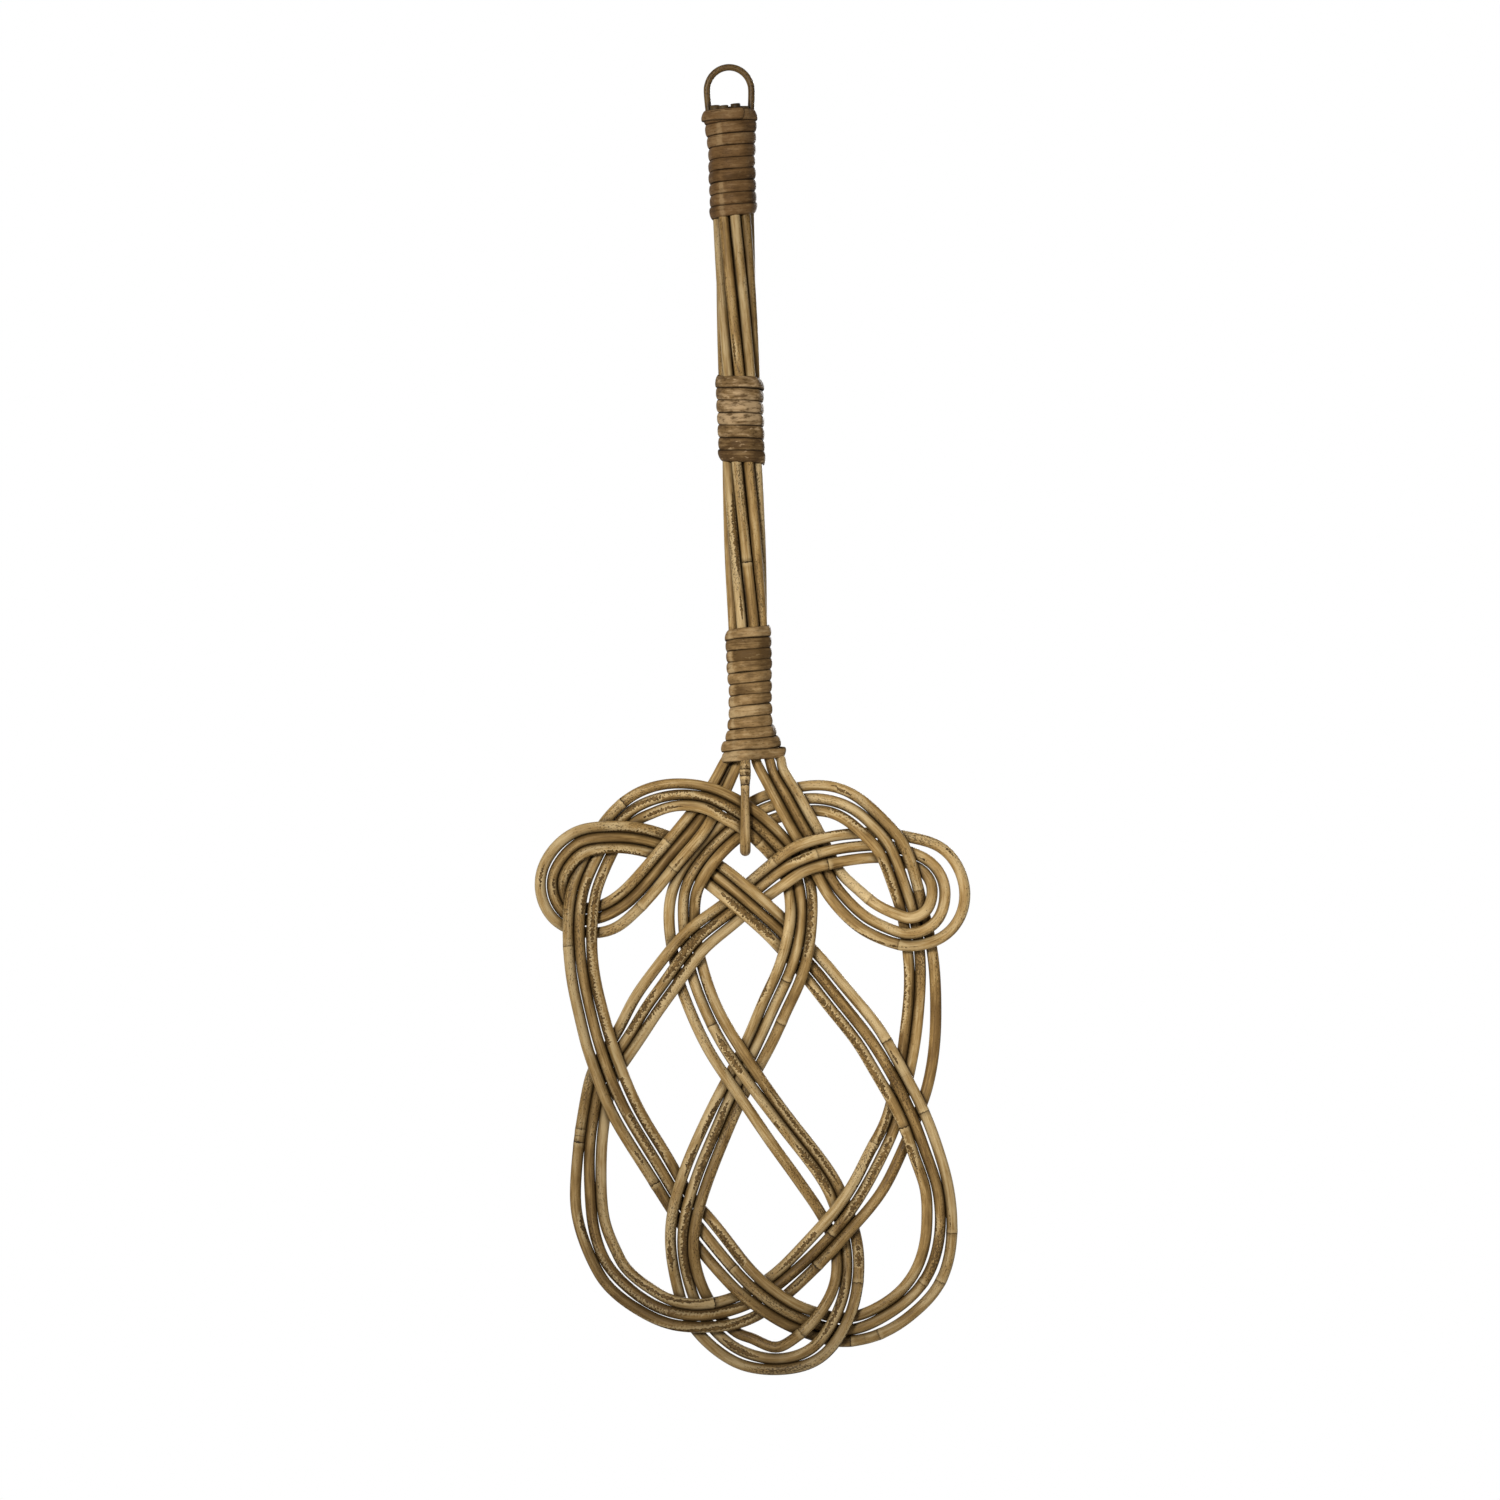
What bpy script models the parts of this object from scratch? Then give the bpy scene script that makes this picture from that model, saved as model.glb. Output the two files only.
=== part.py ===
"""Carpet beater of woven cane, hanging by its loop.

Three long canes run side by side as one band. The band leaves the collar, weaves the open
head in one unbroken route and returns to the collar, and its six ends carry on up the handle.
X runs across the head, Z up the handle, and the front faces -Y.
The origin is the inside top of the hanging loop.
"""
import math

import bpy
import numpy as np

# driving dimensions, in metres
HEAD_WIDTH = 0.260
HEAD_LENGTH = 0.368
HANDLE_LENGTH = 0.3905
CANE_DIAMETER = 0.0060
CANE_GAP = 0.0004

# handle bundle: a ring of canes, twisted round a core cane through a few of its places
RING_GAP = 0.0012
TWIST_PLACES = 3
HANDLE_STEP = 0.036
END_STAND = 0.0014
END_STEP = 0.0016

# collar, in which the ends draw in to a waist and fan out again
COLLAR_LENGTH = 0.0795
COLLAR_TURNS = 12
CORE_END_SHARE = 0.84
WAIST_STEPS = 4

# the other two windings
TOP_WRAP_LENGTH = 0.0640
TOP_WRAP_TURNS = 9
MIDDLE_WRAP_LENGTH = 0.0510
MIDDLE_WRAP_TURNS = 7
MIDDLE_WRAP_DROP = 0.1605

# the cane strip that all three are wound from
STRIP_THICKNESS = 0.0015
STRIP_GAP = 0.0007
WRAP_CLEARANCE = 0.0005
WRAP_SAMPLES = 72
WRAP_TOLERANCE = 0.00012
WRAP_END_ANGLE = math.radians(110.0)
WRAP_ROUNDS = 3

# hanging loop
LOOP_CANE_DIAMETER = 0.0040
LOOP_INNER_WIDTH = 0.0227
LOOP_INNER_HEIGHT = 0.0237
LOOP_ARCH_HEIGHT = 0.0140
LOOP_TUCK_LEFT = 0.022
LOOP_TUCK_RIGHT = 0.030
LOOP_TIP_SHARE = 0.45
LOOP_LEG_SHARES = (1.0, 0.6, 0.3, 0.0)
LOOP_ARCH_STEPS = 12

# retaining hook, which goes down in front of the throat, a reach past its crossing, and back up behind it
THROAT_SHARE = 0.1125
HOOK_DIAMETER = 0.0048
HOOK_HEAD_DIAMETER = 0.0062
HOOK_RING_DIAMETER = 0.0068
HOOK_TOE_DIAMETER = 0.0064
HOOK_HEAD_LENGTH = 0.0135
HOOK_REACH = 0.0156
HOOK_TUCK = 0.0130
HOOK_BACK_TUCK = 0.0080
HOOK_TIP_SHARE = 0.40
HOOK_RING_SHARE = 0.17
HOOK_BEND = 0.0100
HOOK_CLEARANCE = 0.0012
HOOK_TOP_SHARE = -0.0155
HOOK_TOE_SHARE = -0.0240
HOOK_LEG_STEPS = 8
HOOK_BEND_STEPS = 8

# spacing of the rings along a woven cane
LENGTH_STEP = 0.018
TURN_STEP = math.radians(26.0)
SETTLE_ROUNDS = 900
SETTLE_PUSH_SHARE = 1.2
TUCK_LIMIT_SHARE = 0.98

# how the band lies, row by row: share of the head's width across, share of its length down,
# distance of the left and of the right cane from the middle one in pitches, and the layer,
# which is higher nearer the front
ROUTE_SHARES = [
    # out of the collar on the left and down to the left ear
    (-0.0775, 0.0400, 0.70, 0.70, -0.5),
    (-0.1040, 0.0700, 0.86, 0.86, -0.7),
    (-0.1350, 0.1000, 1.00, 1.00, 0.4),
    (-0.1680, 0.1270, 1.00, 1.00, 1.1),
    (-0.1980, 0.1500, 1.00, 1.00, 1.2),
    (-0.2620, 0.2000, 1.05, 1.05, 0.3),
    (-0.3030, 0.2260, 1.15, 1.05, 0),
    # round the left ear
    (-0.3500, 0.2440, 1.40, 1.05, -1),
    (-0.4000, 0.2500, 1.15, 1.10, -1),
    (-0.4400, 0.2410, 1.05, 1.00, -1),
    (-0.4640, 0.2190, 1.10, 1.00, 0),
    (-0.4710, 0.1860, 1.12, 1.00, 0),
    (-0.4500, 0.1520, 1.15, 1.00, 0.5),
    (-0.4020, 0.1230, 1.05, 1.00, 1),
    (-0.3500, 0.1165, 1.00, 1.00, 1),
    (-0.3000, 0.1175, 1.00, 1.00, 1),
    (-0.2500, 0.1240, 1.00, 1.05, 0),
    (-0.2000, 0.1380, 1.00, 1.00, -1),
    # the long diagonal down to the right
    (-0.1200, 0.1720, 1.00, 1.00, -1),
    (-0.0500, 0.2120, 1.05, 1.05, 0.6),
    (0.0000, 0.2445, 1.05, 1.05, 1),
    (0.0400, 0.2720, 1.05, 1.05, 0),
    (0.0850, 0.3090, 1.10, 1.05, -1),
    (0.1300, 0.3470, 1.15, 1.10, -0.4),
    (0.1865, 0.4000, 1.20, 1.15, 0),
    (0.2390, 0.4500, 1.25, 1.15, 0.4),
    (0.2820, 0.5000, 1.10, 1.25, 1),
    (0.3170, 0.5500, 1.10, 1.15, 1),
    (0.3450, 0.6000, 1.20, 1.05, 0.6),
    # round the lower right
    (0.3680, 0.6500, 1.20, 1.10, 0),
    (0.3890, 0.7000, 1.05, 1.10, 0),
    (0.3960, 0.7500, 1.05, 1.25, 0),
    (0.3880, 0.8000, 1.20, 1.25, 0),
    (0.3600, 0.8500, 1.35, 1.20, 0),
    (0.3100, 0.8890, 1.30, 1.05, 0),
    (0.2500, 0.9160, 1.30, 1.05, 0),
    (0.2000, 0.9300, 1.10, 1.15, -0.6),
    (0.1500, 0.9320, 1.05, 1.15, -1),
    # up to the left
    (0.1000, 0.9210, 1.05, 1.10, -1),
    (0.0500, 0.9050, 1.05, 1.05, 0),
    (0.0000, 0.8820, 1.05, 1.05, 1),
    (-0.0500, 0.8520, 1.15, 1.10, 1),
    (-0.1000, 0.8120, 1.20, 1.20, 0.4),
    (-0.1500, 0.7660, 1.25, 1.30, -0.6),
    (-0.2000, 0.7160, 1.10, 1.10, -1),
    (-0.2530, 0.6500, 1.15, 1.15, 0),
    (-0.2930, 0.6000, 1.20, 1.15, 0.5),
    (-0.3290, 0.5500, 1.20, 1.20, 1),
    (-0.3555, 0.5000, 1.15, 1.20, 1),
    (-0.3765, 0.4500, 1.15, 1.15, 1),
    (-0.3925, 0.4000, 1.10, 1.10, 0.3),
    (-0.4050, 0.3500, 1.10, 1.05, 0),
    (-0.4120, 0.3000, 1.05, 1.10, 0.5),
    (-0.4110, 0.2500, 1.05, 1.20, 1),
    # over the left shoulder
    (-0.3990, 0.2000, 1.05, 1.20, 0.6),
    (-0.3670, 0.1500, 1.05, 1.10, -1),
    (-0.3310, 0.1080, 1.05, 1.05, -1),
    (-0.2900, 0.0780, 1.05, 1.05, 0),
    (-0.2500, 0.0625, 1.15, 1.15, 0),
    (-0.2000, 0.0530, 1.12, 1.05, 0.2),
    (-0.1500, 0.0520, 1.02, 1.00, 0.6),
    (-0.1000, 0.0600, 1.00, 1.00, 1),
    (-0.0500, 0.0780, 1.00, 1.10, 1),
    (-0.0050, 0.1010, 1.00, 1.00, 1),
    (0.0460, 0.1370, 1.00, 1.00, -0.6),
    (0.0800, 0.1700, 1.00, 1.00, -1.2),
    # down the inner loop to the lower left
    (0.0960, 0.2050, 1.10, 1.00, -1),
    (0.1000, 0.2500, 1.00, 1.00, 0.8),
    (0.0900, 0.3000, 1.05, 1.10, 1),
    (0.0660, 0.3500, 1.20, 1.10, 0.3),
    (0.0310, 0.4000, 1.20, 1.10, 0),
    (-0.0040, 0.4500, 1.20, 1.00, -0.7),
    (-0.0410, 0.5000, 1.05, 1.00, -1),
    (-0.0810, 0.5500, 1.05, 1.05, -0.7),
    (-0.1150, 0.6000, 1.05, 1.20, 0.3),
    (-0.1480, 0.6500, 1.10, 1.25, 1),
    (-0.1760, 0.7000, 1.10, 1.25, 1),
    (-0.1950, 0.7500, 1.05, 1.20, 1),
    (-0.1990, 0.8000, 1.00, 1.10, 0.3),
    # round the bottom
    (-0.1870, 0.8500, 1.05, 1.15, -1),
    (-0.1600, 0.9000, 1.25, 1.30, -1),
    (-0.1000, 0.9480, 1.25, 1.20, -0.8),
    (-0.0500, 0.9670, 1.45, 1.15, 0),
    (0.0000, 0.9745, 1.10, 1.00, 0),
    (0.0500, 0.9710, 1.50, 1.05, 0),
    (0.1000, 0.9520, 1.75, 1.20, 0.4),
    (0.1520, 0.9000, 1.35, 1.20, 1),
    (0.1740, 0.8500, 1.00, 1.10, 0.4),
    (0.1760, 0.8000, 1.00, 1.10, -0.7),
    # up to the left again
    (0.1620, 0.7500, 1.30, 1.05, -1),
    (0.1370, 0.7000, 1.80, 1.00, -0.6),
    (0.0930, 0.6500, 1.85, 1.00, 0),
    (0.0415, 0.6000, 1.70, 1.00, 0),
    (-0.0085, 0.5500, 1.50, 1.05, 0.8),
    (-0.0570, 0.5000, 1.40, 1.20, 1),
    (-0.0990, 0.4500, 1.38, 1.20, 0.8),
    (-0.1310, 0.4000, 1.32, 1.10, 0),
    (-0.1550, 0.3500, 1.32, 1.15, -0.8),
    # round the inner left
    (-0.1690, 0.3000, 1.27, 1.10, -1),
    (-0.1720, 0.2500, 1.35, 1.05, 0),
    (-0.1620, 0.2000, 1.08, 1.10, 0.5),
    (-0.1140, 0.1500, 1.00, 1.00, 0.3),
    (-0.0700, 0.1200, 1.00, 1.00, -0.8),
    (-0.0300, 0.0985, 1.00, 1.05, -1.3),
    # over the right shoulder
    (0.0200, 0.0800, 1.10, 1.20, -1.2),
    (0.0750, 0.0690, 1.10, 1.20, -1),
    (0.1300, 0.0650, 1.20, 1.15, -0.5),
    (0.1800, 0.0700, 1.30, 1.10, 0.5),
    (0.2300, 0.0860, 1.15, 1.20, 1),
    (0.2750, 0.1150, 1.05, 1.20, 1),
    (0.3100, 0.1500, 1.20, 1.10, 1),
    (0.3350, 0.2000, 1.20, 1.05, 0.6),
    # down the right side
    (0.3540, 0.2450, 1.00, 1.05, -1),
    (0.3670, 0.3000, 1.10, 1.10, -1),
    (0.3700, 0.3500, 1.30, 1.05, -0.3),
    (0.3650, 0.4000, 1.54, 1.00, 0),
    (0.3560, 0.4500, 1.77, 1.05, 0),
    (0.3420, 0.5000, 1.93, 1.00, -0.7),
    (0.3240, 0.5500, 1.86, 1.05, -1),
    (0.3010, 0.6000, 1.55, 1.00, -0.7),
    (0.2670, 0.6500, 1.53, 1.20, 0),
    (0.2260, 0.7000, 1.50, 1.15, 0.7),
    (0.1760, 0.7500, 1.08, 1.20, 1),
    # round the lower left
    (0.1100, 0.8000, 1.00, 1.25, 0.7),
    (0.0260, 0.8500, 1.20, 1.00, -0.7),
    (-0.0400, 0.8800, 1.30, 1.10, -0.5),
    (-0.1000, 0.8940, 1.30, 1.05, 0.3),
    (-0.1500, 0.8990, 1.10, 1.05, 1),
    (-0.2000, 0.8970, 1.10, 1.05, 1),
    (-0.2500, 0.8870, 1.10, 1.10, 0.4),
    (-0.3000, 0.8670, 1.10, 1.20, 0),
    (-0.3500, 0.8350, 1.20, 1.15, 0),
    (-0.3840, 0.8000, 1.05, 1.35, 0),
    (-0.4040, 0.7500, 1.25, 1.15, 0),
    (-0.4090, 0.7000, 1.40, 1.05, 0),
    (-0.4090, 0.6500, 1.15, 1.10, 0),
    (-0.4030, 0.6000, 1.00, 1.10, 0),
    # up to the right
    (-0.3890, 0.5500, 1.00, 1.05, -0.8),
    (-0.3680, 0.5000, 1.00, 1.10, -1),
    (-0.3160, 0.4500, 1.10, 1.00, -0.3),
    (-0.2690, 0.4000, 1.35, 1.10, 0),
    (-0.2150, 0.3500, 1.40, 1.10, 0.6),
    (-0.1500, 0.2920, 1.15, 1.15, 1),
    (-0.1000, 0.2640, 1.05, 1.10, 0.3),
    (-0.0500, 0.2390, 1.00, 1.00, -1),
    (0.0000, 0.2110, 1.00, 1.05, -0.6),
    (0.0500, 0.1840, 1.05, 1.20, 0.7),
    (0.1000, 0.1660, 1.35, 1.00, 1),
    (0.1500, 0.1540, 1.30, 1.15, 1),
    (0.2000, 0.1475, 1.25, 1.20, 0.3),
    (0.2500, 0.1450, 1.20, 1.15, -1),
    # round the right ear
    (0.3000, 0.1460, 1.20, 1.15, -1),
    (0.3500, 0.1560, 1.30, 1.10, -0.8),
    (0.4000, 0.1750, 1.70, 1.10, -0.2),
    (0.4280, 0.2050, 1.80, 1.15, 0),
    (0.4300, 0.2400, 1.85, 1.25, 0),
    (0.4060, 0.2740, 1.50, 1.40, 0.6),
    (0.3500, 0.2905, 1.10, 1.50, 1),
    (0.3000, 0.2805, 1.15, 1.50, 1),
    (0.2500, 0.2610, 1.15, 1.50, 0.3),
    # back up into the collar
    (0.2000, 0.2260, 1.10, 1.35, 0),
    (0.1650, 0.1880, 1.00, 1.00, -0.5),
    (0.1340, 0.1400, 1.00, 1.00, -0.2),
    (0.1010, 0.1000, 1.00, 1.00, 0.5),
    (0.0625, 0.0500, 1.00, 1.00, 1),
    (0.0435, 0.0200, 1.00, 1.00, 0.6),
]

# where the six ends leave the collar: across and forward, in shares of the head's width and in pitches
EXIT_SHARES = {
    "right_start": (-0.0645, 0.25),
    "middle_start": (-0.0485, -0.60),
    "left_start": (-0.0310, 0.25),
    "left_end": (0.0080, 0.53),
    "middle_end": (0.0390, 0.31),
    "right_end": (0.0655, 0.00),
}
# where they lie across and forward inside the collar, in pitches, at four shares of its length
COLLAR_SHARES = (0.48, 0.28, 0.15, 0.06)
COLLAR_PITCH_SHARES = {
    "right_start": ((-1.24, 0.28), (-1.36, 0.23), (-1.66, 0.20), (-2.12, 0.22)),
    "middle_start": ((-0.78, -0.74), (-0.91, -0.73), (-1.13, -0.75), (-1.50, -0.70)),
    "left_start": ((-0.52, 0.98), (-0.56, 0.94), (-0.72, 0.72), (-0.97, 0.45)),
    "left_end": ((0.52, 0.98), (0.45, 0.95), (0.36, 0.84), (0.31, 0.67)),
    "middle_end": ((1.24, 0.28), (1.19, 0.31), (1.30, 0.50), (1.39, 0.42)),
    "right_end": ((0.78, -0.74), (1.16, -0.67), (1.66, -0.44), (2.19, -0.22)),
}
# the short canes' tails: down from the core's end, inward and thinned, in shares of the collar's
# length, the ring's radius and the cane's radius
HANDLE_TAIL_SHARES = [(0.0, 0.90, 0.67), (0.11, 0.60, 0.40)]
# where the hook's back leg ends inside the collar, across and forward
HOOK_BACK_PITCH_SHARES = (-0.30, -0.25)
# the canes of the handle's ring at the collar's top, clockwise from the left of the front
RING_ORDER = [
    "left_start",
    "left_end",
    "middle_end",
    "right_end",
    "handle_cane_right",
    "handle_cane_left",
    "middle_start",
    "right_start",
]
# how far each cut end stands out at the handle's top, in shares of the end step
END_SHARES = [0.3, 1.0, 0.6, 0.2, 0.8, 0.0, 0.5, 0.9]

PITCH = CANE_DIAMETER + CANE_GAP
HOOK_LENGTH = HEAD_LENGTH * THROAT_SHARE + HOOK_REACH
CANE_RADIUS = CANE_DIAMETER / 2
RING_RADIUS = (CANE_DIAMETER + RING_GAP) / (2 * math.sin(math.pi / len(RING_ORDER)))
RING_ANGLE = 2 * math.pi / len(RING_ORDER)
CORE_DIAMETER = 2 * (RING_RADIUS - CANE_RADIUS - CANE_GAP)
WRAP_TOP = -LOOP_INNER_HEIGHT
COLLAR_BOTTOM = WRAP_TOP - HANDLE_LENGTH
COLLAR_TOP = COLLAR_BOTTOM + COLLAR_LENGTH
CORE_END = COLLAR_BOTTOM + COLLAR_LENGTH * CORE_END_SHARE
TWIST_RATE = TWIST_PLACES * RING_ANGLE / (WRAP_TOP - COLLAR_TOP)
STRIP_PROFILE_SHARES = [(-0.5, -0.5), (-0.5, 0.5), (0.28, 0.5), (0.5, 0.0), (0.28, -0.5)]

# colours with roughness, all as dry natural cane
CANE_LOOKS = {
    "left_cane": ((0.50, 0.35, 0.18, 1), 0.55),
    "middle_cane": ((0.58, 0.43, 0.25, 1), 0.55),
    "right_cane": ((0.54, 0.40, 0.24, 1), 0.60),
    "handle_cane": ((0.48, 0.33, 0.15, 1), 0.55),
    "core_cane": ((0.60, 0.46, 0.28, 1), 0.70),
    "wrap": ((0.36, 0.25, 0.14, 1), 0.45),
    "loop": ((0.34, 0.21, 0.08, 1), 0.45),
    "hook": ((0.46, 0.33, 0.19, 1), 0.50),
}


def clear_scene():
    for item in list(bpy.data.objects):
        bpy.data.objects.remove(item, do_unlink=True)


def new_collection(name):
    group = bpy.data.collections.new(name)
    bpy.context.scene.collection.children.link(group)
    return group


def material(name):
    colour, roughness = CANE_LOOKS[name]
    made = bpy.data.materials.new(name)
    made.use_nodes = True
    shader = made.node_tree.nodes["Principled BSDF"]
    shader.inputs["Base Color"].default_value = colour
    shader.inputs["Roughness"].default_value = roughness
    shader.inputs["Metallic"].default_value = 0.0
    return made


def spline(knots, values, at):
    """Natural cubic spline through rows of values at rising knots."""
    count = len(knots)
    gap = np.diff(knots)
    system = np.zeros((count, count))
    right = np.zeros(values.shape)
    system[0, 0] = 1.0
    system[-1, -1] = 1.0
    for i in range(1, count - 1):
        system[i, i - 1] = gap[i - 1]
        system[i, i] = 2 * (gap[i - 1] + gap[i])
        system[i, i + 1] = gap[i]
        slope_after = (values[i + 1] - values[i]) / gap[i]
        slope_before = (values[i] - values[i - 1]) / gap[i - 1]
        right[i] = 6 * (slope_after - slope_before)
    bend = np.linalg.solve(system, right)
    i = np.clip(np.searchsorted(knots, at, side="right") - 1, 0, count - 2)
    step = gap[i][:, None]
    a = (knots[i + 1] - at)[:, None] / step
    b = 1 - a
    curve = ((a**3 - a) * bend[i] + (b**3 - b) * bend[i + 1]) * step**2 / 6
    return a * values[i] + b * values[i + 1] + curve


def unit(rows):
    return rows / np.linalg.norm(rows, axis=1)[:, None]


def band_plan():
    """Places of the three canes' rings in the head's plane, across and down, and their layers."""
    shares = np.array(ROUTE_SHARES)
    table = shares[:, :4] * (HEAD_WIDTH, HEAD_LENGTH, PITCH, PITCH)
    legs = np.linalg.norm(np.diff(table[:, :2], axis=0), axis=1)
    knots = np.concatenate([[0], np.cumsum(np.sqrt(legs))])
    fine = np.linspace(0, knots[-1], 50 * len(knots))
    path = spline(knots, table, fine)[:, :2]
    steps = np.diff(path, axis=0)
    heading = np.unwrap(np.arctan2(steps[:, 1], steps[:, 0]))
    turns = np.abs(np.diff(heading, prepend=heading[0]))
    wanted = np.linalg.norm(steps, axis=1) / LENGTH_STEP + turns / TURN_STEP
    total = np.concatenate([[0], np.cumsum(wanted)])
    rings = int(math.ceil(total[-1])) + 1
    at = np.interp(np.linspace(0, total[-1], rings), total, fine)
    rows = spline(knots, table, at)
    nudge = knots[-1] / len(fine)
    ahead = unit(spline(knots, table, at + nudge)[:, :2] - spline(knots, table, at - nudge)[:, :2])
    left = np.stack([ahead[:, 1], -ahead[:, 0]], axis=1)
    middle = rows[:, :2]
    plans = {
        "left": middle + left * rows[:, 2:3],
        "middle": middle,
        "right": middle - left * rows[:, 3:4],
    }
    return plans, np.interp(at, knots, shares[:, 4])


def closest(start_a, along_a, start_b, along_b):
    """Shares along two sets of segments at which they pass nearest each other."""
    apart = start_a - start_b
    aa = (along_a * along_a).sum(1)
    bb = (along_b * along_b).sum(1)
    ab = (along_a * along_b).sum(1)
    ar = (along_a * apart).sum(1)
    br = (along_b * apart).sum(1)
    square = aa * bb - ab * ab
    flat = square < 1e-9 * aa * bb
    s = np.where(flat, 0.5, np.clip((ab * br - ar * bb) / np.where(flat, 1, square), 0, 1))
    t = np.clip((ab * s + br) / bb, 0, 1)
    s = np.clip((ab * t - ar) / aa, 0, 1)
    return s, t


def settle(plans, layers, tucks, ends):
    """Heights towards the front at which the three canes just clear each other wherever they cross.

    Each crossing keeps the order of its layers, and between crossings a cane bends evenly.
    Where the band is narrower than three canes, the middle one lies behind the other two.
    """
    names = list(plans)
    rings = len(layers)
    plan = np.concatenate([plans[name] for name in names])
    layer = np.tile(layers, len(names))
    first = np.concatenate([np.arange(rings - 1) + k * rings for k in range(len(names))])
    start = plan[first]
    along = plan[first + 1] - start
    station = first % rings
    a, b = np.triu_indices(len(first), 1)
    reach = (np.linalg.norm(along[a], axis=1) + np.linalg.norm(along[b], axis=1)) / 2 + PITCH
    middles = start + along / 2
    near = np.linalg.norm(middles[a] - middles[b], axis=1) < reach
    other_pass = np.abs(station[a] - station[b]) > 4
    a, b = a[near & other_pass], b[near & other_pass]
    s, t = closest(start[a], along[a], start[b], along[b])
    gap = np.linalg.norm(start[a] + along[a] * s[:, None] - start[b] - along[b] * t[:, None], axis=1)
    a, b, s, t = (values[gap < PITCH] for values in (a, b, s, t))
    over = layer[first[a]] * (1 - s) + layer[first[a] + 1] * s
    over -= layer[first[b]] * (1 - t) + layer[first[b] + 1] * t
    sign = np.where(over > 0, 1.0, -1.0)

    height = layer * PITCH / 2
    fixed = np.zeros(len(height), bool)
    for k, name in enumerate(names):
        height[k * rings] = ends[name][0]
        height[k * rings + rings - 1] = ends[name][1]
        fixed[k * rings] = True
        fixed[k * rings + rings - 1] = True
    for turn in range(SETTLE_ROUNDS):
        grid = height.reshape(len(names), rings)
        even = grid.copy()
        even[:, 1:-1] = (grid[:, :-2] + grid[:, 2:]) / 2
        smooth = even.copy()
        smooth[:, 2:-2] = (4 * (grid[:, 1:-3] + grid[:, 3:-1]) - grid[:, :-4] - grid[:, 4:]) / 6
        eased = 0.5 * grid + 0.35 * smooth + 0.15 * even
        if turn < SETTLE_ROUNDS * 3 // 4:
            height = np.where(fixed, height, eased.reshape(-1))
        place = np.column_stack([plan, height])
        start3 = place[first]
        along3 = place[first + 1] - start3
        if turn > SETTLE_ROUNDS // 4:
            s, t = closest(start3[a], along3[a], start3[b], along3[b])
        apart = start3[a] + along3[a] * s[:, None] - start3[b] - along3[b] * t[:, None]
        level = np.hypot(apart[:, 0], apart[:, 1])
        need = np.sqrt(np.maximum(PITCH**2 - level**2, 0))
        short = np.maximum(need - sign * apart[:, 2], 0)
        weight = (1 - s) ** 2 + s**2 + (1 - t) ** 2 + t**2
        push = sign * short / weight
        move = np.zeros(len(height))
        hits = np.zeros(len(height))
        for index, share in ((first[a], 1 - s), (first[a] + 1, s), (first[b], t - 1), (first[b] + 1, -t)):
            np.add.at(move, index, push * share)
            np.add.at(hits, index, (short > 0) * 1.0)
        height = np.where(fixed, height, height + SETTLE_PUSH_SHARE * move / np.maximum(hits, 1))
        for side in (0, 2):
            grid = height.reshape(len(names), rings)
            lift = np.maximum(tucks - (grid[side] - grid[1]), 0)
            lift[[0, -1]] = 0
            grid[side] += lift / 2
            grid[1] -= lift / 2
    return {name: height[k * rings:(k + 1) * rings] for k, name in enumerate(names)}


def ring_place(place, z):
    """Across and forward of one place in the handle's ring at a height."""
    angle = (place - 0.5) * RING_ANGLE - TWIST_RATE * max(z - COLLAR_TOP, 0)
    return np.array([RING_RADIUS * math.sin(angle), RING_RADIUS * math.cos(angle)])


def handle_levels():
    count = math.ceil((WRAP_TOP - COLLAR_TOP) / HANDLE_STEP)
    return np.linspace(WRAP_TOP, COLLAR_TOP, count + 1)


def handle_points(place, end_share):
    """A cane of the handle from its cut end down to the collar, as across, forward and up."""
    levels = handle_levels()
    levels[0] = WRAP_TOP + END_STAND + END_STEP * end_share
    levels = np.append(levels, CORE_END)
    return [(*ring_place(place, z), z) for z in levels]


def handle_cane(place):
    """One of the two short canes of the handle, thinned where it ends beside and below the core."""
    points = handle_points(place, END_SHARES[place])
    tail = []
    for down, inward, thin in HANDLE_TAIL_SHARES:
        z = CORE_END - COLLAR_LENGTH * down
        tail.append((*(ring_place(place, z) * inward), z))
    path = np.array(points[:-1] + tail)
    radii = np.full(len(path), CANE_RADIUS)
    radii[-len(tail):] *= np.array(HANDLE_TAIL_SHARES)[:, 2]
    return path, radii


def collar_points(name):
    """A band end from the ring down through the collar to its mouth."""
    ring = ring_place(RING_ORDER.index(name), CORE_END)
    waist = np.array(COLLAR_PITCH_SHARES[name][0]) * PITCH
    waist_level = COLLAR_BOTTOM + COLLAR_LENGTH * COLLAR_SHARES[0]
    points = []
    for k in range(1, WAIST_STEPS):
        share = k / WAIST_STEPS
        spot = ring + (waist - ring) * share * share * (3 - 2 * share)
        points.append((*spot, CORE_END + (waist_level - CORE_END) * share))
    for place, level in zip(COLLAR_PITCH_SHARES[name], COLLAR_SHARES):
        points.append((*(np.array(place) * PITCH), COLLAR_BOTTOM + COLLAR_LENGTH * level))
    points.append((*exit_point(name), COLLAR_BOTTOM))
    return points


def exit_point(name):
    across, forward = EXIT_SHARES[name]
    return np.array([across * HEAD_WIDTH, forward * PITCH])


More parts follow.
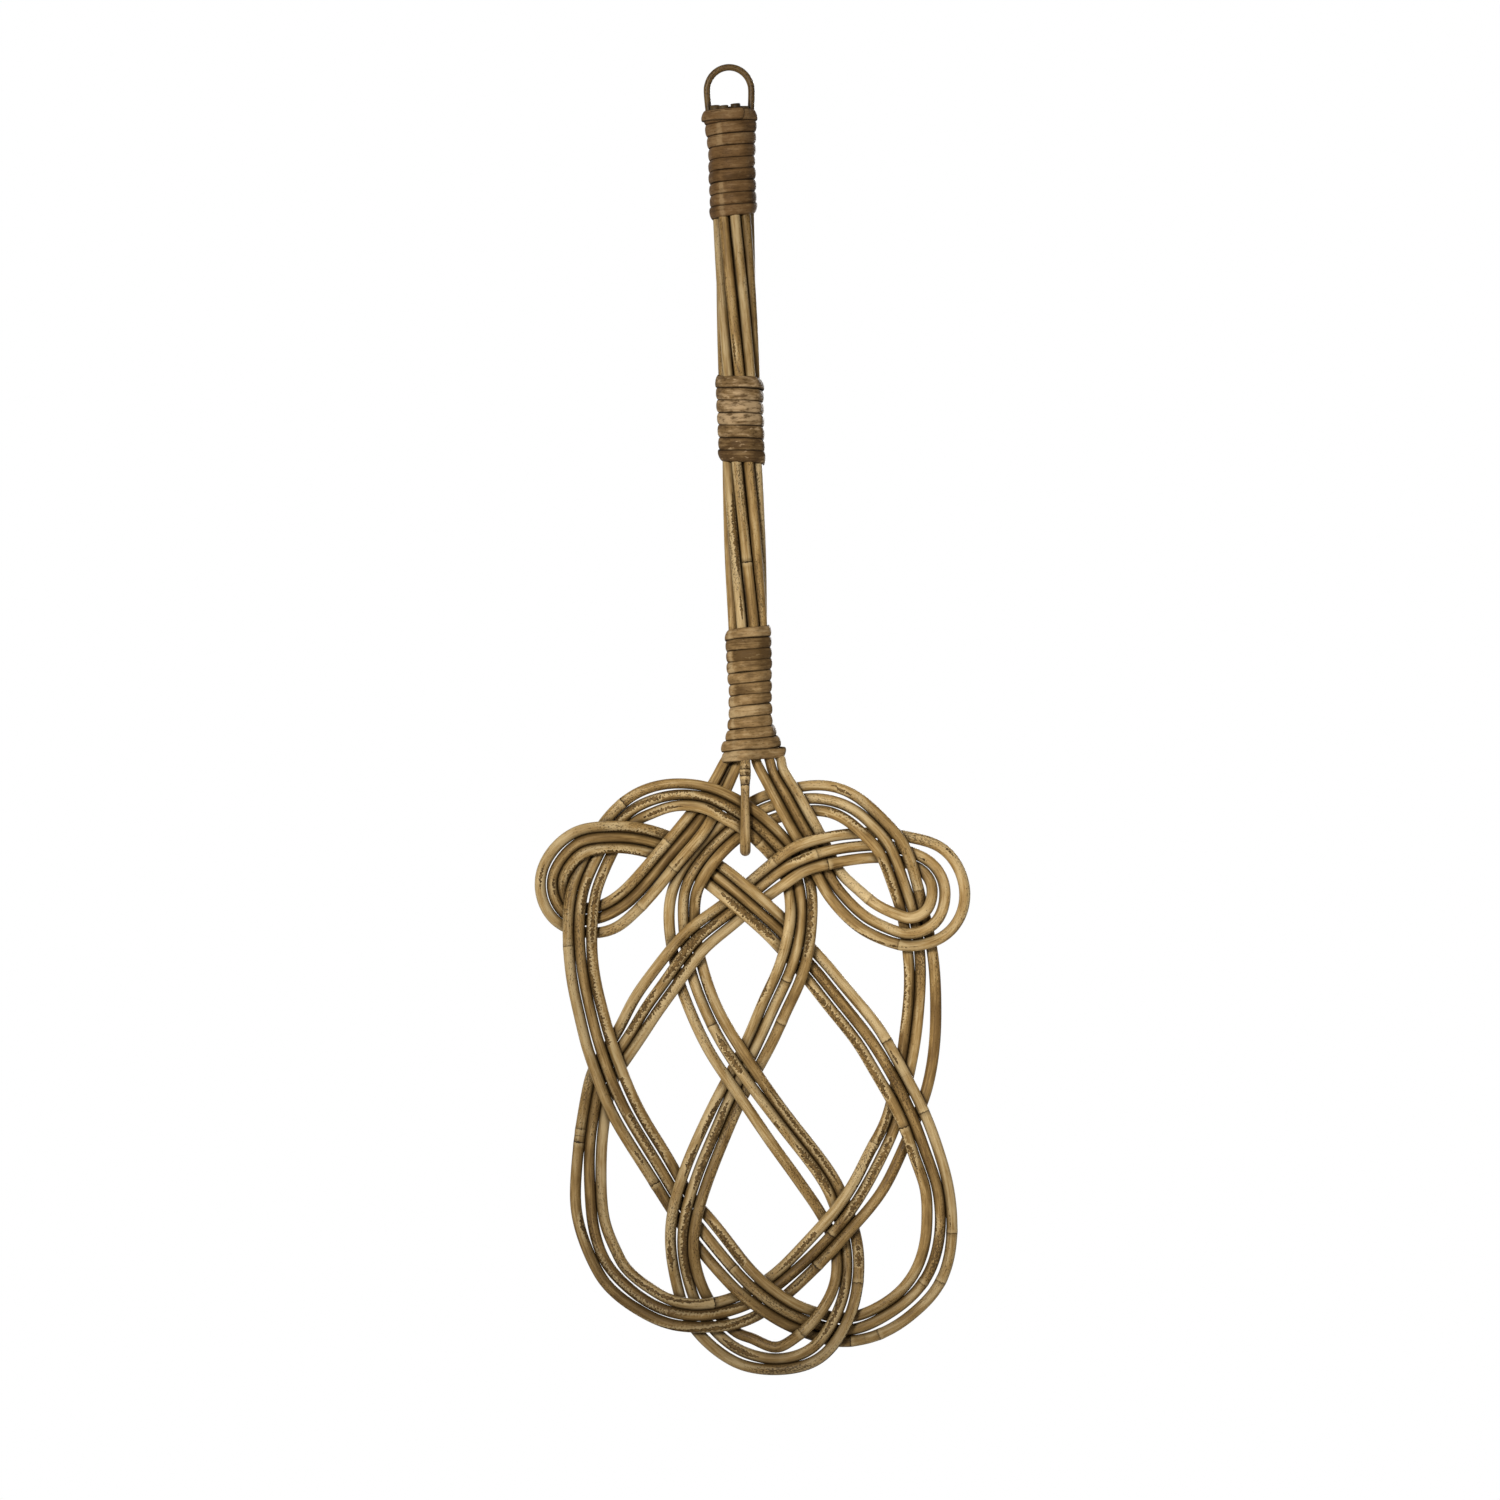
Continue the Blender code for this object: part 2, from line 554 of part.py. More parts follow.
def band_canes():
    """The three long canes, each from one cut end through the weave to the other."""
    plans, layers = band_plan()
    tucks = np.zeros(len(layers) + 2)
    ends = {}
    for name in plans:
        start, end = exit_point(name + "_start"), exit_point(name + "_end")
        plans[name] = np.concatenate([[(start[0], 0)], plans[name], [(end[0], 0)]])
        ends[name] = (start[1], end[1])
    layers = np.concatenate([layers[:1], layers, layers[-1:]])
    beside = np.linalg.norm(plans["left"] - plans["middle"], axis=1)
    tucks[1:-1] = np.sqrt(np.maximum(PITCH**2 - beside[1:-1] ** 2, 0))
    tucks[beside > TUCK_LIMIT_SHARE * PITCH] = 0
    heights = settle(plans, layers, tucks, ends)
    canes = {}
    for name, plan in plans.items():
        head = [(p[0], h, COLLAR_BOTTOM - p[1]) for p, h in zip(plan, heights[name])]
        path = []
        for key in ("_start", "_end"):
            place = RING_ORDER.index(name + key)
            path.append(handle_points(place, END_SHARES[place]) + collar_points(name + key))
        canes[name] = np.array(path[0] + head[1:-1] + path[1][::-1])
    return canes


def reach_past(canes, spot, apart, side):
    """How far forward (side 1) or back (side -1) a round piece clears the canes at a spot."""
    far = -math.inf
    for path in canes.values():
        start = path[:-1]
        along = path[1:] - start
        flat = along[:, [0, 2]]
        t = ((spot - start[:, [0, 2]]) * flat).sum(1) / (flat * flat).sum(1)
        nearest = start + along * np.clip(t, 0, 1)[:, None]
        gap = np.linalg.norm(nearest[:, [0, 2]] - spot, axis=1)
        close = gap < apart
        if close.any():
            rise = side * nearest[close, 1] + np.sqrt(apart**2 - gap[close] ** 2)
            far = max(far, rise.max())
    return far


def hook_path(canes):
    """The retaining hook's centre line and its radii, front leg first."""
    top = COLLAR_BOTTOM + HOOK_TUCK
    toe = COLLAR_BOTTOM - HOOK_LENGTH + HOOK_TOE_DIAMETER / 2
    bend = toe + HOOK_BEND
    legs = []
    for side, leg_top in ((1, top), (-1, COLLAR_BOTTOM)):
        levels = np.linspace(leg_top, bend, HOOK_LEG_STEPS + 1)
        across = HEAD_WIDTH * np.interp(levels, [toe, top], [HOOK_TOE_SHARE, HOOK_TOP_SHARE])
        rise = np.empty(len(levels))
        for i, (x, z) in enumerate(zip(across, levels)):
            apart = CANE_RADIUS + hook_radius(z, side) + HOOK_CLEARANCE
            rise[i] = reach_past(canes, np.array([x, z]), apart, side)
        forward = side * arch_over(levels, rise)
        legs.append(list(zip(across, forward, levels)))
    front, back = legs
    middle = (front[-1][1] + back[-1][1]) / 2
    half = (front[-1][1] - back[-1][1]) / 2
    drift = HEAD_WIDTH * (HOOK_TOE_SHARE - HOOK_TOP_SHARE) / (top - toe)
    points = list(front)
    for k in range(1, HOOK_BEND_STEPS):
        angle = math.pi * k / HOOK_BEND_STEPS
        drop = HOOK_BEND * math.sin(angle)
        points.append((front[-1][0] + drift * drop, middle + half * math.cos(angle), bend - drop))
    points += back[::-1]
    inside = np.array(HOOK_BACK_PITCH_SHARES) * PITCH
    points.append((*inside, COLLAR_BOTTOM + HOOK_BACK_TUCK))
    radii = [hook_radius(z, 1 if y > middle else -1) for x, y, z in points]
    return np.array(points), np.array(radii)


def hook_radius(z, side):
    """The hook is thin in the collar, thick and ringed at its head, and thicker again at its toe."""
    head = COLLAR_BOTTOM - HOOK_HEAD_LENGTH
    toe = COLLAR_BOTTOM - HOOK_LENGTH
    if side < 0:
        return np.interp(z, [toe, head], [HOOK_TOE_DIAMETER, HOOK_DIAMETER]) / 2
    step = HOOK_HEAD_LENGTH * HOOK_RING_SHARE
    top = COLLAR_BOTTOM + HOOK_TUCK
    levels = [toe + 3 * step, head - step, head, head + step, COLLAR_BOTTOM, top]
    sizes = [HOOK_TOE_DIAMETER, HOOK_DIAMETER, HOOK_RING_DIAMETER, HOOK_RING_DIAMETER, HOOK_HEAD_DIAMETER,
             HOOK_HEAD_DIAMETER * HOOK_TIP_SHARE]
    return np.interp(z, levels, sizes) / 2


def arch_over(levels, rise):
    """The lowest line without a hollow that is nowhere below a rise."""
    rise = np.where(np.isfinite(rise), rise, rise[np.isfinite(rise)].min())
    line = rise.copy()
    for i in range(len(levels)):
        for j in range(i):
            for k in range(j + 1, i):
                share = (levels[k] - levels[j]) / (levels[i] - levels[j])
                line[k] = max(line[k], rise[j] + (rise[i] - rise[j]) * share)
    return line


def loop_path():
    """The hanging loop's centre line and radii, from one tucked tip round to the other."""
    radius = LOOP_CANE_DIAMETER / 2
    half_width = LOOP_INNER_WIDTH / 2 + radius
    arch_foot = radius - LOOP_ARCH_HEIGHT
    legs = []
    for side, tuck in ((-1, LOOP_TUCK_LEFT), (1, LOOP_TUCK_RIGHT)):
        leg = []
        for share in LOOP_LEG_SHARES:
            z = WRAP_TOP - tuck * share
            thin = radius * (1 - (1 - LOOP_TIP_SHARE) * share)
            half_gap = RING_RADIUS * math.sin(RING_ANGLE / 2)
            groove = RING_RADIUS * math.cos(RING_ANGLE / 2)
            groove += math.sqrt((CANE_RADIUS + thin + CANE_GAP) ** 2 - half_gap**2)
            angle = side * math.pi / 2 + TWIST_RATE * tuck * share
            leg.append((groove * math.sin(angle), groove * math.cos(angle), z, thin))
        legs.append(leg)
    rows = legs[0]
    rows.append((-half_width, 0, arch_foot, radius))
    for k in range(1, LOOP_ARCH_STEPS):
        angle = math.pi * k / LOOP_ARCH_STEPS
        rows.append((-half_width * math.cos(angle), 0, arch_foot + LOOP_ARCH_HEIGHT * math.sin(angle), radius))
    rows.append((half_width, 0, arch_foot, radius))
    rows += legs[1][::-1]
    rows = np.array(rows)
    return rows[:, :3], rows[:, 3]


def upright(path, radii):
    """A stretch of a path that the windings go round, sorted by height."""
    order = np.argsort(path[:, 2])
    return path[order, 2], path[order, 0], path[order, 1], radii[order]


def lean(path):
    """How much wider a piece is across a level cut where its path leans, point by point."""
    legs = np.diff(path, axis=0)
    slant = np.linalg.norm(legs, axis=1) / np.abs(legs[:, 2])
    return np.maximum(np.append(slant, slant[-1]), np.append(slant[0], slant))


def hull_points(uprights, angles, levels, width, hand):
    """Where a strip lies against the uprights when its outside faces the given angles."""
    normals = np.stack([hand * np.sin(angles), np.cos(angles)], axis=1)
    half = width / 2 + WRAP_CLEARANCE
    spots = np.zeros((len(levels), 2))
    reach = np.full(len(levels), -math.inf)
    for heights, across, forward, radii in uprights:
        for z in (levels - half, levels, levels + half):
            offset = np.interp(z, heights, radii) + WRAP_CLEARANCE + STRIP_THICKNESS / 2
            spot = np.stack([np.interp(z, heights, across), np.interp(z, heights, forward)], axis=1)
            spot += offset[:, None] * normals
            further = (spot * normals).sum(1) > reach
            further &= (z >= heights[0]) & (z <= heights[-1])
            spots[further] = spot[further]
            reach[further] = (spot[further] * normals[further]).sum(1)
    return np.column_stack([spots, levels])


def winding(uprights, bottom, length, turns, hand):
    """Centre line of a strip wound tight round the uprights, its angles and its width."""
    pitch = (length + STRIP_GAP) / turns
    width = pitch - STRIP_GAP
    turn = 2 * math.pi
    last = turn * (turns - 1) + WRAP_END_ANGLE
    first_step = round((-WRAP_END_ANGLE / turn - 0.5) * WRAP_SAMPLES)
    steps = np.arange(first_step, round((last / turn + 0.5) * WRAP_SAMPLES))
    angles = turn * steps / WRAP_SAMPLES
    levels = bottom + width / 2 + pitch * steps / WRAP_SAMPLES
    facing = angles[1:] - turn / WRAP_SAMPLES / 2
    tangents = np.stack([hand * np.cos(facing), -np.sin(facing)], axis=1)
    inner = slice(WRAP_SAMPLES // 2, WRAP_SAMPLES // 2 + len(steps) - WRAP_SAMPLES)
    for _ in range(WRAP_ROUNDS):
        path = hull_points(uprights, angles, levels, width, hand)
        runs = np.abs((np.diff(path[:, :2], axis=0) * tangents).sum(1))
        rises = np.full(len(runs), pitch / WRAP_SAMPLES)
        rises[inner] = pitch * runs[inner] / np.convolve(runs, np.ones(WRAP_SAMPLES), "valid")
        levels = np.append(0, np.cumsum(rises))
        levels += bottom + width / 2 - np.interp(0, angles, levels)
    path[:, 2] = levels
    on = (angles >= -WRAP_END_ANGLE) & (angles <= last)
    kept = thin_out(path[on])
    path, angles = path[on][kept], angles[on][kept]
    straight = np.flatnonzero(np.linalg.norm(np.diff(path, axis=0), axis=1) > width)
    keep = slice(straight[0], straight[-1] + 2)
    return path[keep], angles[keep], width


def thin_out(path):
    """The points of a line worth keeping, so that no dropped one lies far off the chords left."""
    kept = [0]
    while kept[-1] < len(path) - 1:
        start = kept[-1]
        end = start + 1
        while end + 1 < len(path):
            chord = path[end + 1, :2] - path[start, :2]
            away = path[start + 1:end + 1, :2] - path[start, :2]
            off = np.abs(away[:, 0] * chord[1] - away[:, 1] * chord[0]) / np.linalg.norm(chord)
            if off.max() > WRAP_TOLERANCE:
                break
            end += 1
        kept.append(end)
    return kept


def least_gap(path, angles, width):
    """Least clearance between one turn of a strip and the others, measured on its points."""
    start = path[:-1]
    run = path[1:] - start
    length = np.linalg.norm(run[:, :2], axis=1)
    heading = run[:, :2] / length[:, None]
    least = math.inf
    for spot, angle in zip(path, angles):
        below = np.flatnonzero(angles[1:] < angle - math.pi)
        if len(below) == 0:
            continue
        away = spot - start[below]
        share = np.clip((away[:, :2] * heading[below]).sum(1) / length[below], 0, 1)
        away = away - run[below] * share[:, None]
        along = (away[:, :2] * heading[below]).sum(1)
        across = np.abs(away[:, 0] * heading[below, 1] - away[:, 1] * heading[below, 0])
        rise = away[:, 2] - width * np.hypot(1, run[below, 2] / length[below])
        gaps = np.sqrt(along**2 + np.maximum(across - STRIP_THICKNESS, 0) ** 2 + np.maximum(rise, 0) ** 2)
        least = min(least, gaps.min())
    return least


def add_curve(name, path, group, look):
    """A curve of straight runs through points given as across, forward and up."""
    data = bpy.data.curves.new(name, "CURVE")
    data.dimensions = "3D"
    line = data.splines.new("POLY")
    line.points.add(len(path) - 1)
    for point, (x, forward, z) in zip(line.points, path):
        point.co = (x, -forward, z, 1)
    data.use_fill_caps = True
    data.materials.append(look)
    made = bpy.data.objects.new(name, data)
    group.objects.link(made)
    return made, line


def add_tube(name, path, radii, group, look, resolution=1):
    made, line = add_curve(name, path, group, look)
    widest = float(np.max(radii))
    made.data.bevel_depth = widest
    made.data.bevel_resolution = resolution
    for point, radius in zip(line.points, radii):
        point.radius = float(radius) / widest
    line.use_smooth = True
    return made


def strip_profile(name, width, group):
    """Cross-section of a cane strip: flat inside, crowned outside."""
    data = bpy.data.curves.new(name, "CURVE")
    data.dimensions = "2D"
    line = data.splines.new("POLY")
    line.points.add(len(STRIP_PROFILE_SHARES) - 1)
    for point, (thick, wide) in zip(line.points, STRIP_PROFILE_SHARES):
        point.co = (thick * STRIP_THICKNESS, wide * width, 0, 1)
    line.use_cyclic_u = True
    made = bpy.data.objects.new(name, data)
    made.hide_render = True
    made.display_type = "WIRE"
    group.objects.link(made)
    return made


def add_winding(name, uprights, bottom, length, turns, hand, group, guides, look):
    path, angles, width = winding(uprights, bottom, length, turns, hand)
    made, line = add_curve(name, path[::hand], group, look)
    made.data.twist_mode = "Z_UP"
    made.data.bevel_mode = "OBJECT"
    made.data.bevel_object = strip_profile(name + "_profile", width, guides)
    print(name, "least gap between turns, mm:", round(least_gap(path, angles, width) * 1000, 3))
    return made


def main():
    clear_scene()
    group = new_collection("carpet_beater")
    guides = new_collection("guides")
    looks = {name: material(name) for name in CANE_LOOKS}

    canes = band_canes()
    for name, path in canes.items():
        add_tube(name + "_cane", path, np.full(len(path), CANE_RADIUS), group, looks[name + "_cane"])

    uprights = []
    for path in canes.values():
        for leg in (path, path[::-1]):
            leg = leg[:np.argmax(leg[:, 2] < COLLAR_BOTTOM) + 1]
            uprights.append(upright(leg, np.full(len(leg), CANE_RADIUS)))
    for name in ("handle_cane_right", "handle_cane_left"):
        path, radii = handle_cane(RING_ORDER.index(name))
        add_tube(name, path, radii, group, looks["handle_cane"])
        uprights.append(upright(path, radii))

    core = np.array([(0, 0, WRAP_TOP + END_STAND), (0, 0, CORE_END)])
    add_tube("core_cane", core, np.full(2, CORE_DIAMETER / 2), group, looks["core_cane"], 4)

    path, radii = loop_path()
    add_tube("hanging_loop", path, radii, group, looks["loop"], 2)
    rows = len(LOOP_LEG_SHARES) + 1
    uprights.append(upright(path[:rows], radii[:rows]))
    uprights.append(upright(path[-rows:], radii[-rows:]))

    path, radii = hook_path(canes)
    add_tube("retaining_hook", path, radii, group, looks["hook"], 2)
    tucked = np.argmax(path[:, 2] < COLLAR_BOTTOM - CANE_RADIUS) + 1
    uprights.append(upright(path[:tucked], radii[:tucked] * lean(path[:tucked])))

    middle_top = WRAP_TOP - MIDDLE_WRAP_DROP
    windings = [
        ("top_wrap", WRAP_TOP - TOP_WRAP_LENGTH, TOP_WRAP_LENGTH, TOP_WRAP_TURNS, 1),
        ("middle_wrap", middle_top - MIDDLE_WRAP_LENGTH, MIDDLE_WRAP_LENGTH, MIDDLE_WRAP_TURNS, -1),
        ("collar_wrap", COLLAR_BOTTOM, COLLAR_LENGTH, COLLAR_TURNS, 1),
    ]
    for name, bottom, length, turns, hand in windings:
        add_winding(name, uprights, bottom, length, turns, hand, group, guides, looks["wrap"])


main()
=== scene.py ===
"""Studio scene of the woven cane carpet beater.

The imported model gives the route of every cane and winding. Each one is rebuilt here as a round,
finely divided piece on the same line, with its growth rings, scars and grain.
"""

import math

import bpy
import numpy as np
from mathutils import Matrix


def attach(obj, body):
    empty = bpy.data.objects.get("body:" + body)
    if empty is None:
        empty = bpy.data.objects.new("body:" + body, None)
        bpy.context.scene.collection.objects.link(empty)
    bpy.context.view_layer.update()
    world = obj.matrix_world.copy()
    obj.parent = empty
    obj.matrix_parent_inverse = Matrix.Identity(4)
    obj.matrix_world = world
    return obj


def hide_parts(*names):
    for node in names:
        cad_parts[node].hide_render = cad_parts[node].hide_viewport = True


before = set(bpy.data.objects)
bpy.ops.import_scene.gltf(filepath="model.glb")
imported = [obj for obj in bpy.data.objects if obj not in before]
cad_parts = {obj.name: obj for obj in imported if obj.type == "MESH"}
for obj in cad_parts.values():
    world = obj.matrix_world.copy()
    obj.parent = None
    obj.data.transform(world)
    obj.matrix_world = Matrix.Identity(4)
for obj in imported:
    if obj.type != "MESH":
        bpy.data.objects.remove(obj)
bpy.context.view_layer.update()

# Lengths are in metres, but the fields that drive the materials are in mm.
MM = 0.001
FULL_TURN = 2 * math.pi
HIGHEST, LOWEST = 1, -1

# The photograph places the camera and the marks on the canes: its size in pixels, metres to a
# pixel, how far the beater leans in it, and where its axis starts and the collar ends.
PICTURE = 1500
PIXEL = 0.0006
TILT = math.radians(2.0)
AXIS_AT = (729.5, 100.0)
COLLAR_ROW = 661.0
COLLAR_BOTTOM = -0.4142
CAMERA_DISTANCE = 4.0
SENSOR = 36.0

# Finding the cane that a place in the photograph shows: how far off its line counts for
# nothing, and how much the rest counts, and lying further back. The same for both ends of a
# scar, which must lie on one cane with no more of it between them than DETOUR times their
# distance and DETOUR_MORE.
ON_LINE, OFF_COUNTS, BACK_COUNTS = 0.002, 3, 0.25
SCAR_REACH = 0.0065
SCAR_BACK_COUNTS = 0.06
DETOUR, DETOUR_MORE = 1.7, 0.004

# Points of a CAD node this close are one, and a wound strip's end has this many, this close.
WELD = 1e-6
STRIP_END_POINTS = 5
STRIP_END_REACH = 0.0025

# Canes: points round them, the step along them, the bevel at their ends, and points to a knot
# while the steps are made even.
SIDES = 24
STEP = 0.0016
BEVEL = 0.00035
FINE = 30
# The weave's canes press on each other, and are thicker than their solids below the collar.
FULLER = 1.13
FULLER_OVER = 0.03
# The canes that leave the collar to the right sag less than their solids.
SAG = 0.0015
SAG_DOWN_TO = 0.044

# The long canes and the short ones: the end that is read first, how far its ring of points
# reaches from its outermost point, and the step along the cane.
LONG_CANES = ("left_cane", "middle_cane", "right_cane")
CANE_RING = 0.0066
SHORT_CANES = {
    "handle_cane_left": (HIGHEST, CANE_RING, STEP),
    "handle_cane_right": (HIGHEST, CANE_RING, STEP),
    "core_cane": (HIGHEST, 0.0130, 0.004),
    "hanging_loop": (LOWEST, 0.0030, 0.0008),
    "retaining_hook": (HIGHEST, 0.0035, 0.0007),
}

# Painted shade darkens a cane within SHADED of another one, less in the handle, and a darker
# painted shade lies within CREVICE. No cane's surface is further than THICKEST from its line,
# and a cane shades itself only where it comes back, further along than OWN_STRETCH.
SHADED = 0.0075
SHADE_DEPTH = 0.52
SHADE_CURVE = 1.3
HANDLE_SHADE = 0.35
CREVICE = 0.0032
THICKEST = 0.0080
OWN_STRETCH = 0.03

# The canes are darkened by a tone whose logarithm changes across and up the head, falls off at
# the foot, and changes up the handle. The cut ends above the top winding are dark.
HEAD_MIDDLE = -0.60
TONE_MIDDLE, TONE_ACROSS, TONE_UP, TONE_HANDLE = -0.20, 1.8, 1.6, -1.30
TONE_BOTTOM = 0.26
BOTTOM_FROM, BOTTOM_OVER = -0.69, 0.08
TONE_LIMITS = (0.42, 0.98)
CUT_FROM = -0.0262
CUT_SHADE = 0.26

# Scars: how far a lean of 1 turns them round the cane, and how slowly they start and end. Faint
# ones are scattered over the weave.
SCAR_TURN = math.radians(70)
SCAR_FADE = 0.012
SCATTERED_FROM, SCATTERED = 0.30, 1.3

# Growth rings that the photograph doesn't show are set at random along the long canes, with the
# first one and the last one this far from the cane's ends, and none nearer to another than
# RINGS_CLEAR.
RINGS_FROM_END = 0.05
RINGS_CLEAR = 0.12
RINGS_APART = (0.35, 0.60)
RINGS_DARK = (0.25, 0.6)
# A cane is thicker past a ring and has a notch before it: how much, and where and over how far
# in mm. Its thickness stays within limits.
RING_SHAPE = ((0.055, 0.6, 2.0), (-0.03, -0.35, 0.5))
SWELL_LIMITS = (0.9, 1.06)

# The hook: how far below the collar its head is marked, and the growth rings and the scar there,
# as places along the hook counted from that one.
HOOK_HEAD = 0.0135
HOOK_RINGS = ((0.0011, 1.0), (-0.0045, 0.9), (-0.0085, 0.8))
HOOK_SCAR = (-0.018, 0.004, 0.8, 0.3)

# Random drifts, as how much and over what length: a cane's thickness and tone, a strip's way
# outward and upward, its width and its tone. And how far apart, in mm, the grain of two canes
# or of two strips is taken.
CANE_SWELL = (0.020, 0.045)
CANE_TONES = ((0.55, 0.11), (0.3, 0.03))
STRIP_OUT, STRIP_UP, STRIP_WIDE = (0.00016, 0.011), (0.00022, 0.013), (0.05, 0.015)
STRIP_TONES = ((0.6, 0.035), (0.5, 0.09))
CANE_GRAIN, STRIP_GRAIN = 977, 613

# Windings: the step along the strip, its thickness, how much wider and further out than its
# solid it is, how far it may lean, how far apart two turns count at least for that, how much of
# its climb moves from the front to the back, how long its rounded ends are, and how often its
# line and its lean are evened out.
STRIP_STEP = 0.0009
STRIP_THICK = 0.00145
STRIP_WIDER = 0.0009
STRIP_LIFT = 0.00012
STRIP_LEAN = 0.34
LEAST_CLIMB = 0.004
LEVELLED = 0.04
ROUND_END = 0.0022
EVEN_LINE, EVEN_LEAN = 6, 60
# the strip's section: places across its outside, how high that stands there, and its inside
OUTSIDE = np.array([-1.0, -0.94, -0.8, -0.5, -0.2, 0.2, 0.5, 0.8, 0.94, 1.0])
CROWN = STRIP_THICK * (1.12 * np.sqrt(1 - 0.97 * np.abs(OUTSIDE) ** 2.3) - 0.5)
INSIDE = np.array([0.9, -0.9])
# the lowest turn is drawn in as far as this, and its end is tucked under over this length
DRAWN_TO, DRAWN_OVER = 0.085, 0.03
TUCKED, TUCKED_MORE = 0.010, 3.0
# the turn on top of the top winding: where it starts, as an angle, and its radius
TOP_TURN_FROM = 0.03
TOP_RADIUS = 0.0145
# painted highlight glints on a strip's ridge: how much, how wide, and the drift that breaks them up
PAINTED_GLINT, PAINTED_GLINT_WIDE, PAINTED_GLINT_OVER, PAINTED_GLINT_FROM = 2.4, 0.0012, 0.05, -0.6
# how softly a lighter or darker band of a winding starts and ends
BAND_FADE = 0.003

# lamps, all aimed at the beater's middle: place, width and watts
LAMPS = {
    "key": ((-0.9, -2.5, 0.35), 0.7, 87.0),
    "fill": ((1.6, -1.9, -0.2), 1.2, 6.0),
    "back": ((0.7, 2.6, 0.2), 1.2, 52.0),
}
AIM = (0, 0, -0.45)
WORLD_LIGHT = 0.08
WHITE = 1.0

# growth rings, as places in the photograph: across, down, and how dark the ring is
GROWTH_RINGS = [
    (622, 800, 0.9), (640, 907, 0.3), (569, 945, 0.5), (774, 858, 0.3), (829, 862, 0.8),
    (870, 897, 0.2), (898, 942, 0.4), (918, 892, 0.3), (818, 853, 0.4), (785, 982, 0.8),
    (711, 1023, 0.7), (779, 1024, 0.6), (884, 1040, 0.8), (579, 1139, 1.0), (580, 1127, 0.5),
    (656, 1186, 0.9), (733, 1264, 0.8), (716, 1299, 1.0), (902, 1125, 0.9), (922, 1112, 0.7),
    (829, 1234, 0.9), (815, 1268, 1.0), (950, 1234, 0.6), (938, 1279, 0.5), (855, 1282, 0.7),
    (851, 1342, 0.8), (876, 1334, 0.4), (802, 1334, 0.5), (751, 562, 1.0), (675, 870, 0.5),
]
# scarred stretches: from and to in the photograph, how strong, and to which side of the cane
SCARS = [
    (588, 853, 658, 852, 1.0, 0.9), (588, 853, 566, 890, 0.9, 0.9), (600, 825, 663, 837, 0.8, 0.9),
    (539, 892, 548, 862, 0.7, 0.0), (550, 872, 556, 898, 0.8, 0.2), (648, 802, 708, 798, 1.0, -0.8),
    (618, 818, 648, 802, 0.8, 0.3), (638, 820, 688, 807, 0.6, 0.1), (700, 808, 742, 830, 0.7, 0.6),
    (607, 863, 592, 950, 0.7, 0.1), (595, 863, 580, 922, 0.7, 0.4), (610, 902, 634, 886, 0.7, -0.2),
    (672, 874, 688, 856, 0.9, 0.0), (701, 876, 691, 916, 0.8, 0.9),
    (592, 935, 625, 1055, 1.0, -0.7), (625, 1055, 678, 1164, 1.0, -0.7),
    (720, 915, 660, 985, 1.0, -0.2), (660, 985, 622, 1045, 0.9, -0.4),
    (705, 955, 640, 1035, 1.0, -0.8), (713, 898, 777, 946, 1.0, 0.2),
    (805, 981, 889, 1106, 1.0, -0.4), (705, 963, 716, 1012, 0.7, -0.9),
    (714, 1030, 752, 1078, 0.9, 0.0), (803, 885, 806, 962, 0.9, -0.3),
    (778, 975, 764, 1012, 0.9, -0.8), (727, 1095, 712, 1130, 0.9, 0.0),
    (714, 1090, 694, 1140, 0.8, 0.4), (694, 1140, 678, 1176, 0.9, 0.3),
    (770, 1100, 790, 1132, 0.7, -0.5), (886, 1046, 899, 1066, 0.9, -0.2),
    (786, 863, 816, 853, 1.0, -0.6), (828, 788, 856, 799, 0.7, -0.2),
    (820, 812, 872, 836, 0.9, 0.8), (880, 850, 900, 907, 0.8, -0.4),
    (833, 847, 864, 842, 0.6, -0.9), (914, 852, 930, 863, 1.0, -0.2),
    (936, 841, 957, 866, 0.5, 0.4), (907, 955, 907, 1040, 0.8, -0.9),
    (579, 1205, 588, 1245, 0.8, 0.6), (591, 1236, 690, 1308, 1.0, -0.9),
    (636, 1284, 732, 1305, 0.8, -0.8), (630, 1146, 645, 1168, 0.9, 0.1),
    (618, 1102, 672, 1178, 0.6, 0.3), (671, 1236, 675, 1272, 1.0, -0.2),
    (725, 1105, 686, 1190, 0.9, 0.2), (686, 1190, 694, 1292, 0.9, 0.2),
    (706, 1214, 760, 1276, 0.9, -0.3), (718, 1336, 764, 1352, 0.9, 0.0),
    (766, 1085, 842, 1186, 0.5, 0.2), (794, 1138, 830, 1200, 1.0, 0.0),
    (903, 1130, 921, 1170, 0.8, -0.3), (880, 1130, 776, 1272, 0.6, 0.0),
    (894, 1128, 840, 1222, 0.8, 0.1), (934, 1208, 932, 1242, 0.8, -0.9),
    (857, 1238, 855, 1280, 0.9, 0.0), (810, 1272, 790, 1292, 0.8, -0.2),
    (905, 1280, 898, 1288, 0.8, 0.0), (735, 490, 742, 580, 0.8, 0.4),
    (733, 372, 735, 330, 0.5, -0.5), (742, 590, 746, 622, 0.7, 0.2),
]


# ---------------------------------------------------------------- lines


def unit(rows):
    """Rows of numbers, each scaled to length 1."""
    return rows / np.maximum(np.linalg.norm(rows, axis=-1, keepdims=True), 1e-12)


def lengths(path):
    """How far along a line each of its points lies."""
    return np.append(0, np.cumsum(np.linalg.norm(np.diff(path, axis=0), axis=1)))


def ramp(rise, over):
    """From 0 to 1 while a number rises from 0 by a given amount."""
    return np.clip(rise / over, 0, 1)


def within(values, low, high, fade):
    """1 between two numbers and 0 outside them, with a soft start and end."""
    return ramp(values - low, fade) * ramp(high - values, fade)


def bell(values, middle, width):
    """1 at a number, falling off to both sides."""
    return np.exp(-((values - middle) / width) ** 2)


